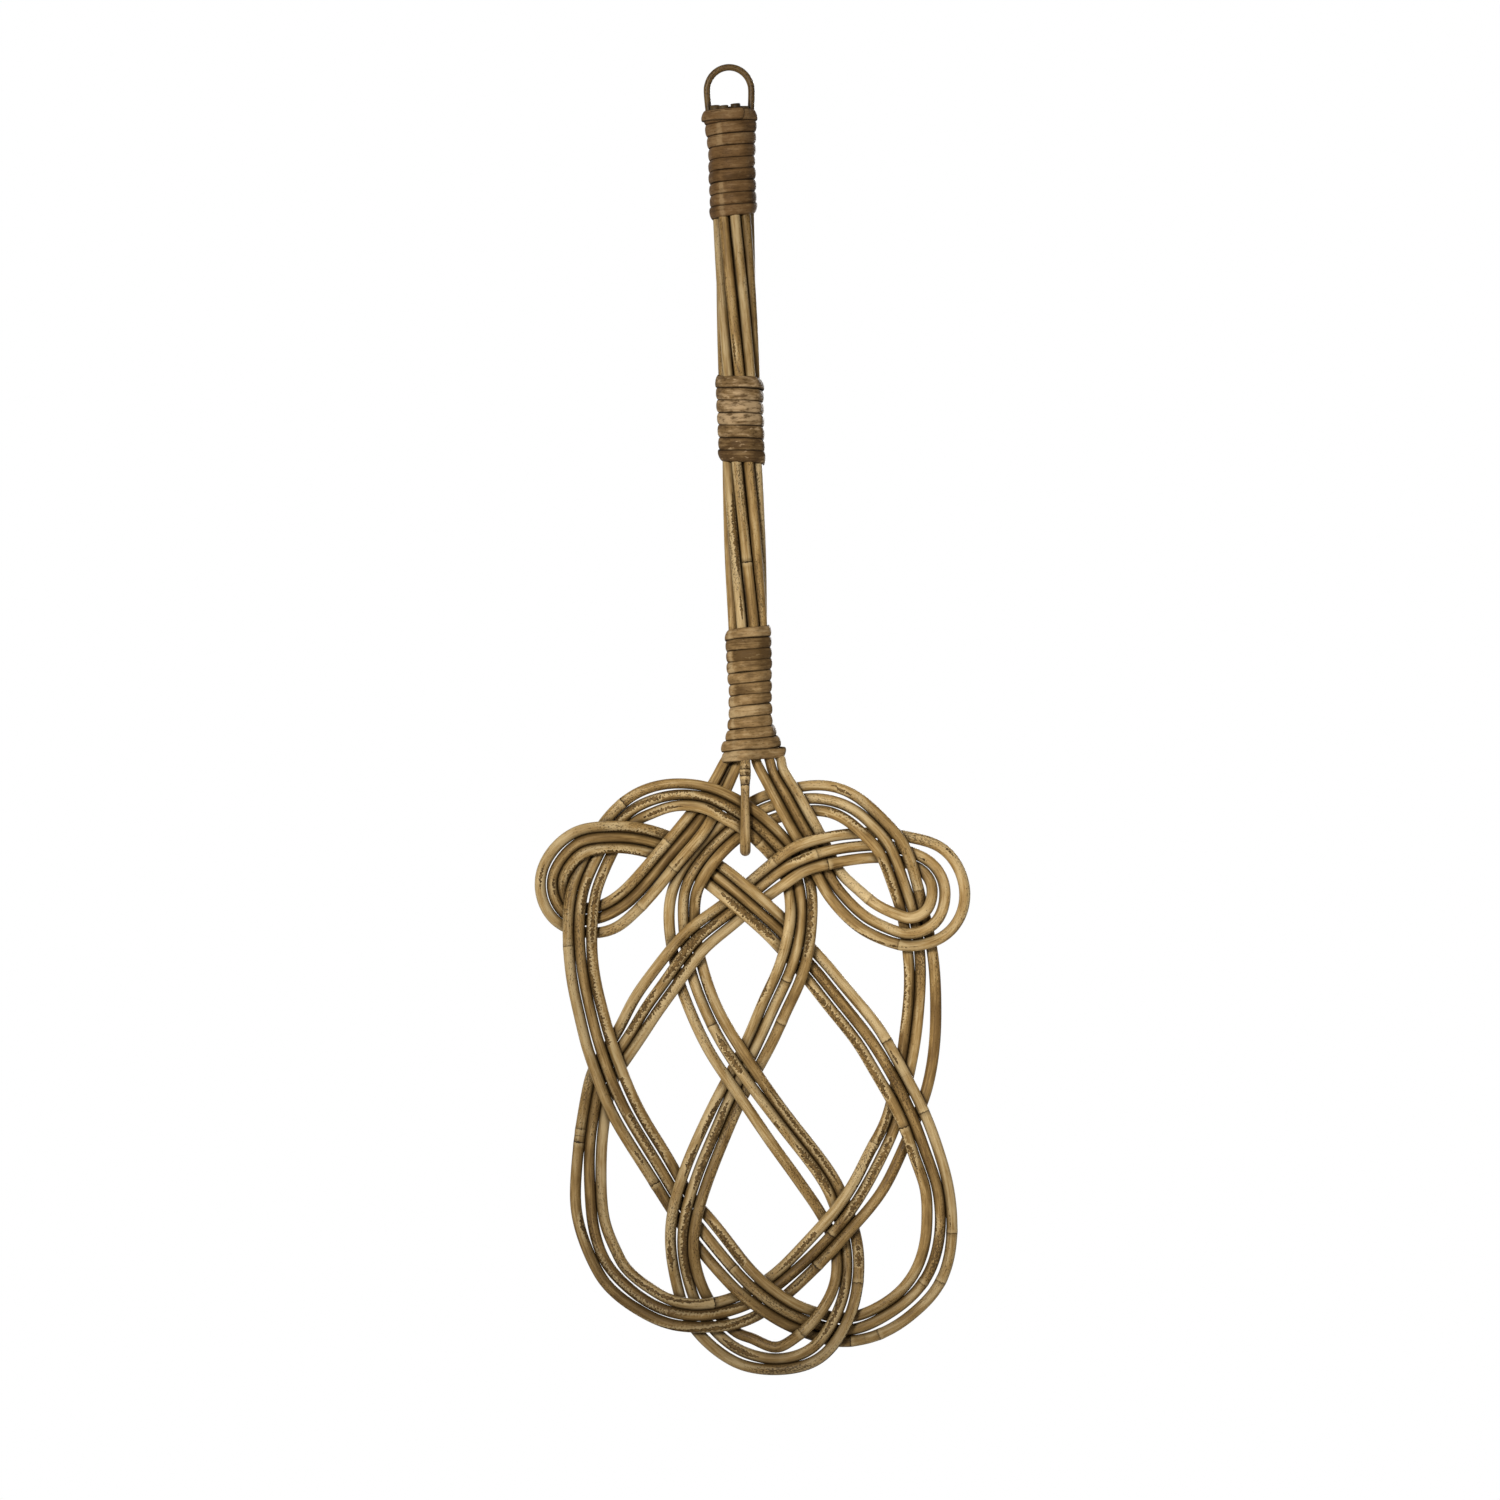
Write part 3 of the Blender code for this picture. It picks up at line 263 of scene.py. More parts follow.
def rows_at(where, knots, rows):
    """Points of a line, read straight between its knots."""
    return np.stack([np.interp(where, knots, rows[:, k]) for k in range(3)], axis=1)


def soften(rows, passes):
    """Evens out a row of points or numbers, leaving both ends where they are."""
    rows = rows.copy()
    for _ in range(passes):
        rows[1:-1] = rows[1:-1] / 2 + (rows[:-2] + rows[2:]) / 4
    return rows


def wander(along, spacing, seed):
    """A slow random drift between -1 and 1 along a line."""
    random = np.random.RandomState(seed)
    count = int(along[-1] / spacing) + 4
    marks = random.uniform(-1, 1, count)
    at = along / spacing
    i = at.astype(int)
    share = at - i
    share = share * share * (3 - 2 * share)
    return marks[i] * (1 - share) + marks[i + 1] * share


def drift(along, much, seed):
    """The same, as much and over such a length as two numbers say."""
    amount, spacing = much
    return amount * wander(along, spacing, seed)


def spline(knots, values, at):
    """Natural cubic spline through rows of values at rising knots."""
    count = len(knots)
    gap = np.diff(knots)
    system = np.zeros((count, count))
    right = np.zeros(values.shape)
    system[0, 0] = system[-1, -1] = 1.0
    for i in range(1, count - 1):
        system[i, i - 1] = gap[i - 1]
        system[i, i] = 2 * (gap[i - 1] + gap[i])
        system[i, i + 1] = gap[i]
        after = (values[i + 1] - values[i]) / gap[i]
        before = (values[i] - values[i - 1]) / gap[i - 1]
        right[i] = 6 * (after - before)
    bend = np.linalg.solve(system, right)
    i = np.clip(np.searchsorted(knots, at, side="right") - 1, 0, count - 2)
    step = gap[i][:, None]
    a = (knots[i + 1] - at)[:, None] / step
    b = 1 - a
    curve = ((a**3 - a) * bend[i] + (b**3 - b) * bend[i + 1]) * step**2 / 6
    return a * values[i] + b * values[i + 1] + curve


def smooth_line(path, radii, step):
    """The same line with rounded bends, at even steps, and its radii."""
    chords = np.linalg.norm(np.diff(path, axis=0), axis=1)
    knots = np.append(0, np.cumsum(np.sqrt(chords)))
    fine = np.linspace(0, knots[-1], FINE * len(knots))
    along = lengths(spline(knots, path, fine))
    count = max(2, math.ceil(along[-1] / step))
    at = np.interp(np.linspace(0, along[-1], count + 1), along, fine)
    return spline(knots, path, at), np.interp(at, knots, radii)


def carried_frame(path):
    """Two directions square to a line that turn about it as little as they can."""
    ahead = unit(np.gradient(path, axis=0))
    side = np.zeros_like(path)
    start = np.cross(ahead[0], (0.0, 1.0, 0.0))
    if np.linalg.norm(start) < 0.1:
        start = np.cross(ahead[0], (1.0, 0.0, 0.0))
    side[0] = start / np.linalg.norm(start)
    for i in range(1, len(path)):
        moved = side[i - 1] - ahead[i] * (side[i - 1] @ ahead[i])
        side[i] = moved / np.linalg.norm(moved)
    return ahead, side, np.cross(ahead, side)


# ---------------------------------------------------------------- reading the frame


def welded(node):
    """A CAD node's points with doubles joined, and the neighbours of each."""
    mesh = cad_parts[node].data
    spots = np.array([vertex.co[:] for vertex in mesh.vertices])
    keys = np.round(spots / WELD).astype(np.int64)
    _, first, joined = np.unique(keys, axis=0, return_index=True, return_inverse=True)
    joined = joined.ravel()
    near = [set() for _ in first]
    for edge in mesh.edges:
        a, b = joined[edge.vertices[0]], joined[edge.vertices[1]]
        near[a].add(b)
        near[b].add(a)
    return spots[first], near


def end_ring(spots, way, reach):
    """The ring of points round a tube's highest or lowest point."""
    tip = spots[np.argmax(way * spots[:, 2])]
    return np.flatnonzero(np.linalg.norm(spots - tip, axis=1) < reach)


def rings_of(node, way, reach):
    """Centres and radii of a CAD tube's rings of points, from one end to the other.

    A ring may lack a point where its cane runs straight, and then a point of the ring after it
    is met early and waits its turn.
    """
    spots, near = welded(node)
    ring = list(end_ring(spots, way, reach))
    whole = len(ring)
    seen, waiting = set(), set()
    centres, radii = [], []
    while ring:
        here = spots[ring]
        spread = np.linalg.norm(here[:, None] - here[None], axis=2)
        a, b = np.unravel_index(spread.argmax(), spread.shape)
        centre = (here[a] + here[b]) / 2
        centres.append(centre)
        radii.append(np.linalg.norm(here - centre, axis=1).mean())
        seen.update(ring)
        waiting = (waiting | {n for r in ring for n in near[r]}) - seen
        ahead = sorted(waiting)
        if not ahead:
            break
        far = np.linalg.norm(spots[ahead] - centre, axis=1)
        nearest = np.argsort(far)[:whole]
        ring = [ahead[i] for i in nearest if far[i] < far.min() + radii[-1]]
    return np.array(centres), np.array(radii)


def strip_line(node):
    """Centres of a CAD strip's sections, from its lowest end up, and how wide the strip is."""
    spots, near = welded(node)
    low = spots[np.argmin(spots[:, 2])]
    beside = np.linalg.norm(spots[:, :2] - low[:2], axis=1) < STRIP_END_REACH
    beside = np.flatnonzero(beside)
    ring = list(beside[np.argsort(spots[beside, 2])[:STRIP_END_POINTS]])
    width = np.ptp(spots[ring, 2])
    seen = set(ring)
    centres = []
    while ring:
        centres.append(spots[ring].mean(0))
        ring = sorted({n for r in ring for n in near[r]} - seen)
        seen.update(ring)
    return np.array(centres), width


def straightened(path):
    """Takes the sag out of the canes that leave the collar to the right."""
    path = path.copy()
    drop = COLLAR_BOTTOM - path[:, 2]
    for i in np.flatnonzero(np.diff(np.sign(drop))):
        step = 1 if drop[i + 1] > drop[i] else -1
        k = i + (step > 0)
        while path[i, 0] > 0 and 0 <= drop[k] < SAG_DOWN_TO:
            path[k, 0] += SAG * math.sin(math.pi * drop[k] / SAG_DOWN_TO)
            k += step
    return path


def long_line(node):
    """Line and radii of a long cane, as thick as it is shown."""
    centres, radii = rings_of(node, HIGHEST, CANE_RING)
    fuller = 1 + (FULLER - 1) * ramp(COLLAR_BOTTOM - centres[:, 2], FULLER_OVER)
    path, radii = smooth_line(centres, radii * fuller, STEP)
    return straightened(path), radii


def short_line(node):
    """Line and radii of one of the other canes."""
    way, reach, step = SHORT_CANES[node]
    return smooth_line(*rings_of(node, way, reach), step)


every_line = {node: long_line(node) for node in LONG_CANES}
every_line.update((node, short_line(node)) for node in SHORT_CANES)


# ---------------------------------------------------------------- places in the photograph


def from_picture(column, row):
    """Across and up, in metres, of a place in the photograph."""
    x = column - AXIS_AT[0]
    y = row - AXIS_AT[1]
    across = x * math.cos(TILT) - y * math.sin(TILT)
    along = x * math.sin(TILT) + y * math.cos(TILT)
    return np.array([across * PIXEL, COLLAR_BOTTOM - (along - COLLAR_ROW) * PIXEL])


def nearest_on_canes(spot):
    """Which long cane lies at a place, and how far along it. The front one wins."""
    best = None
    for name in LONG_CANES:
        path, _ = every_line[name]
        away = np.linalg.norm(path[:, [0, 2]] - spot, axis=1)
        hidden = np.maximum(away - ON_LINE, 0) * OFF_COUNTS + path[:, 1] * BACK_COUNTS
        i = hidden.argmin()
        if best is None or hidden[i] < best[0]:
            best = (hidden[i], name, lengths(path)[i])
    return best[1:]


def stretch_on_canes(start, end):
    """The stretch of a long cane that runs between two places: cane, from, to."""
    chord = np.linalg.norm(start - end)
    best = None
    for name in LONG_CANES:
        path, _ = every_line[name]
        along = lengths(path)
        from_start = np.linalg.norm(path[:, [0, 2]] - start, axis=1)
        from_end = np.linalg.norm(path[:, [0, 2]] - end, axis=1)
        for i in np.flatnonzero(from_start < SCAR_REACH):
            for j in np.flatnonzero(from_end < SCAR_REACH):
                arc = abs(along[i] - along[j])
                if arc < DETOUR * chord + DETOUR_MORE:
                    back = path[i, 1] + path[j, 1]
                    cost = from_start[i] + from_end[j] + back * SCAR_BACK_COUNTS
                    if best is None or cost < best[0]:
                        best = (cost, name, along[i], along[j])
    return best and best[1:]


# ---------------------------------------------------------------- materials


class Graph:
    """Short ways to add nodes to a material."""

    def __init__(self, name, preview):
        self.material = bpy.data.materials.new(name)
        self.material.use_nodes = True
        self.material.diffuse_color = preview
        self.tree = self.material.node_tree
        self.shader = self.tree.nodes["Principled BSDF"]

    def put(self, socket, value):
        """Links an output to a socket, or sets the socket to a constant."""
        if hasattr(value, "is_linked"):
            self.tree.links.new(value, socket)
        else:
            socket.default_value = value

    def attribute(self, name, output="Fac"):
        node = self.tree.nodes.new("ShaderNodeAttribute")
        node.attribute_name = name
        return node.outputs[output]

    def math(self, operation, *values):
        node = self.tree.nodes.new("ShaderNodeMath")
        node.operation = operation
        for socket, value in zip(node.inputs, values):
            self.put(socket, value)
        return node.outputs[0]

    def times(self, a, b):
        return self.math("MULTIPLY", a, b)

    def plus(self, total, value, factor):
        """total + value * factor"""
        return self.math("MULTIPLY_ADD", value, factor, total)

    def rest(self, value):
        """1 - value"""
        return self.math("SUBTRACT", 1.0, value)

    def first(self, vector):
        """The first number of a vector."""
        node = self.tree.nodes.new("ShaderNodeSeparateXYZ")
        self.put(node.inputs[0], vector)
        return node.outputs[0]

    def stretch(self, vector, scale):
        node = self.tree.nodes.new("ShaderNodeVectorMath")
        node.operation = "MULTIPLY"
        self.put(node.inputs[0], vector)
        node.inputs[1].default_value = scale
        return node.outputs[0]

    def noise(self, vector, scale, detail, roughness):
        """Noise with so many waves to a unit along each axis of the vector."""
        node = self.tree.nodes.new("ShaderNodeTexNoise")
        self.put(node.inputs["Vector"], self.stretch(vector, scale))
        node.inputs["Scale"].default_value = 1.0
        node.inputs["Detail"].default_value = detail
        node.inputs["Roughness"].default_value = roughness
        return node.outputs["Fac"]

    def between(self, value, low, high):
        """A soft step from 0 to 1 while a value goes from low to high."""
        node = self.tree.nodes.new("ShaderNodeMapRange")
        node.interpolation_type = "SMOOTHSTEP"
        self.put(node.inputs["Value"], value)
        node.inputs["From Min"].default_value = low
        node.inputs["From Max"].default_value = high
        return node.outputs["Result"]

    def mix(self, share, a, b, kind="MIX"):
        node = self.tree.nodes.new("ShaderNodeMix")
        node.data_type = "RGBA"
        node.blend_type = kind
        self.put(node.inputs["Factor"], share)
        self.put(node.inputs[6], a)
        self.put(node.inputs[7], b)
        return node.outputs[2]

    def paint(self, skin, where, strength, colour):
        """The skin with a colour laid over it, where one field says and as strongly as another."""
        return self.mix(self.times(where, strength), skin, colour)

    def finish(self, colour, roughness, height, depth):
        """Colour, roughness and relief of the material. Height 1 stands out by the depth."""
        self.put(self.shader.inputs["Base Color"], colour)
        self.put(self.shader.inputs["Roughness"], roughness)
        node = self.tree.nodes.new("ShaderNodeBump")
        node.inputs["Strength"].default_value = 0.6
        node.inputs["Distance"].default_value = depth
        self.put(node.inputs["Height"], height)
        self.put(self.shader.inputs["Normal"], node.outputs["Normal"])
        return self.material


def shade(colour, factor):
    """A colour made darker or lighter."""
    return tuple(c * factor for c in colour[:3]) + (1,)


def cane_skin(name, pale, gold, deep, rough=0.50):
    """Waxy outer skin of a rattan cane: grain, specks, sheath scars, growth rings and painted
    shade.
    """
    g = Graph(name, gold)
    at = g.attribute("grain", "Vector")
    tone = g.attribute("tone")
    aside = g.attribute("scar_aside")
    strength = g.attribute("scar_on")
    ring = g.attribute("ring_at")
    dark = g.attribute("ring_dark")
    crevice = g.attribute("crevice")

    # grain: streaks, clouds and fibres, all drawn out along the cane
    streaks = g.noise(at, (0.035, 0.9, 0.9), 4.0, 0.6)
    clouds = g.noise(at, (0.05, 0.22, 0.22), 3.0, 0.6)
    fibres = g.noise(at, (0.12, 3.2, 3.2), 2.0, 0.5)
    body = g.plus(g.times(clouds, 0.8), streaks, 0.7)
    body = g.plus(body, tone, 0.17)
    body = g.plus(body, fibres, 0.14)
    skin = g.mix(g.between(body, 0.50, 0.84), deep, gold)
    skin = g.mix(g.between(body, 0.74, 1.06), skin, pale)

    # fine specks, gathered in places
    speckle = g.noise(at, (0.8, 1.8, 1.8), 2.0, 0.5)
    gathered = g.noise(at, (0.015, 0.10, 0.10), 1.0, 0.5)
    specks = g.between(g.plus(speckle, gathered, 0.75), 0.995, 1.05)
    skin = g.paint(skin, specks, 0.78, shade(deep, 0.34))

    # sheath scars: a darker strip along the cane with a toothed, torn edge and a pale lip
    coarse = g.noise(at, (0.27, 0.27, 0.27), 2.0, 0.6)
    jag = g.noise(at, (0.80, 0.60, 0.60), 1.0, 0.5)
    tooth = g.math("PINGPONG", g.plus(g.first(at), coarse, 7.0), 1.2)
    width = g.plus(g.math("MULTIPLY_ADD", coarse, 3.4, -2.5), jag, 3.6)
    width = g.plus(width, tooth, 1.35)
    inside = g.math("SUBTRACT", g.times(width, strength), aside)
    patch = g.between(inside, -0.04, 0.07)
    lip = g.times(g.between(inside, -2.3, -0.5), g.rest(patch))
    lip = g.times(lip, g.between(strength, 0.1, 0.5))
    mottle = g.noise(at, (0.5, 0.8, 0.8), 3.0, 0.65)
    bare = g.mix(g.between(mottle, 0.40, 0.58), shade(deep, 0.48), g.mix(0.30, deep, gold))
    # painted shadow: a thin dark line along the scar's edge, as cast by that edge
    scar_edge_shadow = g.times(g.between(inside, -0.10, 0.04), g.between(inside, 0.62, 0.20))
    skin = g.paint(skin, lip, 0.74, shade(pale, 1.14))
    skin = g.paint(skin, patch, 0.95, bare)
    skin = g.paint(skin, scar_edge_shadow, 0.60, shade(deep, 0.28))

    # growth rings: a dark line, a pale lip on one side and a smudge on the other
    wavy = g.plus(ring, g.math("SUBTRACT", jag, 0.5), 1.6)
    line = g.rest(g.between(g.math("ABSOLUTE", wavy), 0.16, 0.50))
    light = g.times(g.between(wavy, 0.2, 0.7), g.between(wavy, 3.4, 1.4))
    smudge = g.times(g.between(wavy, -3.2, -0.3), g.between(wavy, 0.3, 0.0))
    skin = g.paint(skin, light, 0.45, shade(pale, 1.08))
    skin = g.paint(skin, g.times(smudge, dark), 0.60, shade(deep, 0.55))
    skin = g.paint(skin, line, dark, shade(deep, 0.16))

    # darkened by a tone over the beater, and by painted shade near other canes and in crevices
    skin = g.mix(1.0, skin, g.attribute("shaded_tone", "Color"), "MULTIPLY")
    skin = g.paint(skin, g.between(crevice, 0.0, 0.85), 0.80, shade(deep, 0.30))
    # darker painted shade, broken up, where canes lie against each other
    crevice_shade = g.between(g.plus(crevice, jag, 0.4), 0.82, 1.08)
    skin = g.paint(skin, crevice_shade, 0.90, shade(deep, 0.16))

    dull = g.plus(g.times(fibres, 0.16), patch, 0.20)
    height = g.plus(g.times(streaks, 0.20), fibres, 0.10)
    for field, amount in ((patch, -0.30), (lip, 0.16), (line, -0.8), (light, 0.35)):
        height = g.plus(height, field, amount)
    g.shader.inputs["Specular IOR Level"].default_value = 0.09
    return g.finish(skin, g.math("ADD", dull, rough - 0.08), height, 0.0006)


def strip_skin(name, pale, gold, deep, mottle, rough=0.55):
    """Wound cane strip: long fibres, stains, bald spots, specks and dark edges."""
    g = Graph(name, gold)
    at = g.attribute("grain", "Vector")
    tone = g.attribute("tone")
    edge = g.attribute("edge")

    fibres = g.noise(at, (0.05, 2.6, 2.6), 3.0, 0.6)
    streaks = g.noise(at, (0.03, 0.75, 0.75), 4.0, 0.6)
    clouds = g.noise(at, (0.09, 0.20, 0.20), 3.0, 0.6)
    body = g.plus(g.times(clouds, 0.8), streaks, 0.8)
    body = g.plus(body, fibres, 0.35)
    # the tone also carries the painted highlight laid on in build_strip
    body = g.plus(body, tone, 0.30)
    skin = g.mix(g.between(body, 0.66, 1.02), deep, gold)
    skin = g.mix(g.between(body, 0.98, 1.42), skin, pale)

    blotch = g.noise(at, (0.16, 0.42, 0.42), 3.0, 0.6)
    skin = g.paint(skin, g.between(blotch, 0.50, 0.66), mottle, shade(deep, 0.9))
    bald = g.between(g.plus(blotch, tone, -0.05), 0.46, 0.33)
    skin = g.paint(skin, bald, mottle, shade(pale, 1.15))
    specks = g.between(g.noise(at, (0.35, 1.5, 1.5), 2.0, 0.5), 0.62, 0.70)
    skin = g.paint(skin, specks, 0.60, shade(deep, 0.35))
    rim = g.between(g.plus(edge, streaks, 0.16), 0.84, 1.06)
    skin = g.paint(skin, rim, 0.85, shade(deep, 0.22))

    dull = g.plus(g.times(fibres, 0.2), rim, 0.2)
    height = g.plus(g.times(streaks, 0.5), fibres, 0.35)
    g.shader.inputs["Specular IOR Level"].default_value = 0.05
    return g.finish(skin, g.math("ADD", dull, rough - 0.1), height, 0.0008)


def cut_end():
    """Cut face of a cane: pale wood full of pores, darker at the rim."""
    g = Graph("cut_end", (0.4, 0.3, 0.18, 1))
    where = g.tree.nodes.new("ShaderNodeNewGeometry").outputs["Position"]
    pores = g.tree.nodes.new("ShaderNodeTexVoronoi")
    g.put(pores.inputs["Vector"], g.stretch(where, (1500, 1500, 1500)))
    pores.inputs["Scale"].default_value = 1.0
    wall = g.between(pores.outputs["Distance"], 0.18, 0.34)
    stain = g.noise(where, (350, 350, 350), 3.0, 0.6)
    wood = g.mix(g.between(stain, 0.35, 0.65), (0.20, 0.125, 0.055, 1), (0.42, 0.31, 0.18, 1))
    rim = g.between(g.attribute("edge"), 0.75, 1.0)
    wood = g.mix(rim, wood, (0.17, 0.105, 0.045, 1))
    wood = g.mix(wall, (0.07, 0.042, 0.02, 1), wood)
    return g.finish(wood, 0.85, wall, 0.0003)


END = cut_end()
PALE = (0.570, 0.412, 0.202, 1)
GOLD = (0.360, 0.220, 0.076, 1)
DEEP = (0.156, 0.086, 0.026, 1)
skins = {
    "left_cane": cane_skin("skin_left", shade(PALE, 0.96), shade(GOLD, 0.96), DEEP),
    "middle_cane": cane_skin("skin_middle", shade(PALE, 1.08), shade(GOLD, 1.12),
                             shade(DEEP, 1.1)),
    "right_cane": cane_skin("skin_right", PALE, GOLD, DEEP),
    "handle_cane": cane_skin("skin_handle", shade(PALE, 0.84), (0.262, 0.156, 0.049, 1),
                             (0.112, 0.061, 0.018, 1)),
    "core_cane": cane_skin("skin_core", shade(PALE, 0.9), shade(GOLD, 0.9), DEEP, 0.6),
    "hook": cane_skin("skin_hook", (0.46, 0.32, 0.15, 1), (0.27, 0.165, 0.058, 1),
                      (0.115, 0.064, 0.022, 1)),
    "loop": cane_skin("skin_loop", (0.23, 0.14, 0.050, 1), (0.115, 0.063, 0.020, 1),
                      (0.040, 0.021, 0.007, 1), 0.4),
    "top_wrap": strip_skin("skin_top_wrap", (0.214, 0.135, 0.063, 1), (0.126, 0.068, 0.026, 1),
                           (0.060, 0.031, 0.011, 1), 0.35),
    "middle_wrap": strip_skin("skin_middle_wrap", (0.330, 0.224, 0.118, 1),
                              (0.174, 0.105, 0.043, 1), (0.074, 0.040, 0.015, 1), 0.85),
    "collar_wrap": strip_skin("skin_collar_wrap", (0.371, 0.254, 0.124, 1),
                              (0.246, 0.149, 0.060, 1), (0.098, 0.055, 0.020, 1), 0.45),
}


# ---------------------------------------------------------------- canes


def new_mesh(name, points, faces, smooth=True):
    """A piece made of points and faces."""
    mesh = bpy.data.meshes.new(name)
    mesh.from_pydata(points.reshape(-1, 3).tolist(), [], faces)
    mesh.polygons.foreach_set("use_smooth", [smooth] * len(mesh.polygons))
    piece = bpy.data.objects.new(name, mesh)
    bpy.context.scene.collection.objects.link(piece)
    return piece


def give(mesh, name, values):
    """A number or a vector for every point of a mesh."""
    values = np.asarray(values, dtype=np.float32)
    kind, field = ("FLOAT_VECTOR", "vector") if values.ndim == 2 else ("FLOAT", "value")
    made = mesh.attributes.new(name, kind, "POINT")
    made.data.foreach_set(field, values.ravel())


def tube_faces(rings, sides):
    """The faces between a tube's rings of points."""
    faces = []
    for i in range(0, (rings - 1) * sides, sides):
        for j in range(sides):
            k = (j + 1) % sides
            faces.append((i + j, i + k, i + sides + k, i + sides + j))
    return faces


def with_ends(rows):
    """The first and the last row once more, for the rings of a tube's bevels."""
    return np.concatenate([rows[:1], rows, rows[-1:]])


def gaps_of(body, path, along, node):
    """How far each point of a tube lies from another cane, or from its own cane further on."""
    gap = np.full(body.shape[:2], SHADED)
    for other, (line, radii) in every_line.items():
        apart = np.linalg.norm(path[:, None] - line[None], axis=2)
        if other == node:
            beyond = np.abs(along[:, None] - lengths(line)[None]) > OWN_STRETCH
            apart = np.where(beyond, apart, 1.0)
        here, there = np.nonzero(apart < SHADED + THICKEST)
        if len(here):
            away = np.linalg.norm(body[here] - line[there][:, None], axis=2)
            np.minimum.at(gap, here, away - radii[there][:, None])
    return gap


def ring_marks(along, marks):
    """Distance in mm past the nearest growth ring, and how dark that ring is."""
    spots, dark = np.array(sorted(marks)).T
    nearest = np.abs(along[:, None] - spots[None]).argmin(1)
    return (along - spots[nearest]) / MM, dark[nearest]


def swelling(along, ring_at, seed):
    """A cane's thickness against its mean: uneven, and full past a ring's notch."""
    swell = 1 + drift(along, CANE_SWELL, seed)
    for much, where, width in RING_SHAPE:
        swell += much * bell(ring_at, where, width)
    return np.clip(swell, *SWELL_LIMITS)


def tones_of(along, marks, seed):
    """How light a cane is along its length, with a step at each growth ring."""
    slow, quick = CANE_TONES
    tone = drift(along, slow, seed + 50) + drift(along, quick, seed + 90)
    segment = np.searchsorted(sorted(place for place, _ in marks), along)
    steps = np.random.RandomState(seed + 7).uniform(-0.5, 0.5, len(marks) + 1)
    return tone + steps[segment]


def shaded_tone_of(path, slot, gaps):
    """How light each point of a tube is: a tone that changes over the beater, and painted shade."""
    up = path[:, 2]
    head = up < COLLAR_BOTTOM
    in_head = TONE_MIDDLE + TONE_ACROSS * path[:, 0] + TONE_UP * (up - HEAD_MIDDLE)
    lightness = np.where(head, in_head, TONE_HANDLE * (up - COLLAR_BOTTOM))
    lightness -= TONE_BOTTOM * ramp(BOTTOM_FROM - up, BOTTOM_OVER)
    lightness = np.clip(np.exp(lightness), *TONE_LIMITS)
    if slot != "loop":
        lightness *= np.where(up > CUT_FROM, CUT_SHADE, 1.0)
    # painted shade: darker where another cane, or this one further on, lies within SHADED; less in
    # the handle
    depth = SHADE_DEPTH * np.where(head, 1.0, HANDLE_SHADE)
    near = np.clip(1 - gaps / SHADED, 0, 1) ** SHADE_CURVE
    return lightness[:, None] * (1 - depth[:, None] * near)


def scar_fields(path, along, ahead, out, turn, mm, scars, seed):
    """How far aside of a scar each point lies, in mm, and how strong the scar is there.

    Seen from the front, a scar lies on the right or the lower side where its lean is positive.
    """
    across = unit(np.cross(ahead, (0.0, 1.0, 0.0)))
    across *= np.where(across @ (1.0, 0.0, -0.35) < 0, -1, 1)[:, None]
    front = np.array([0.0, -1.0, 0.0]) - ahead * -ahead[:, 1:2]
    facing = (out * unit(front)[:, None]).sum(2)
    beside = (out * across[:, None]).sum(2)
    angle = np.arctan2(beside, facing)
    layers = [(angle - SCAR_TURN * lean, strength * within(along, low, high, SCAR_FADE))
              for low, high, strength, lean in scars]
    spread = np.clip(wander(along, 0.07, seed + 30) - SCATTERED_FROM, 0, 1) * SCATTERED
    heading = FULL_TURN * wander(along, 0.3, seed + 31)
    layers.append((turn[None] - heading[:, None], spread * (path[:, 2] < COLLAR_BOTTOM)))

    aside = np.full(angle.shape, math.pi * mm)
    on = np.zeros(len(path))
    for turned, strength in layers:
        turned = np.abs((turned + math.pi) % FULL_TURN - math.pi) * mm
        aside = np.where((strength > on)[:, None], turned, aside)
        on = np.maximum(on, strength)
    return aside, on


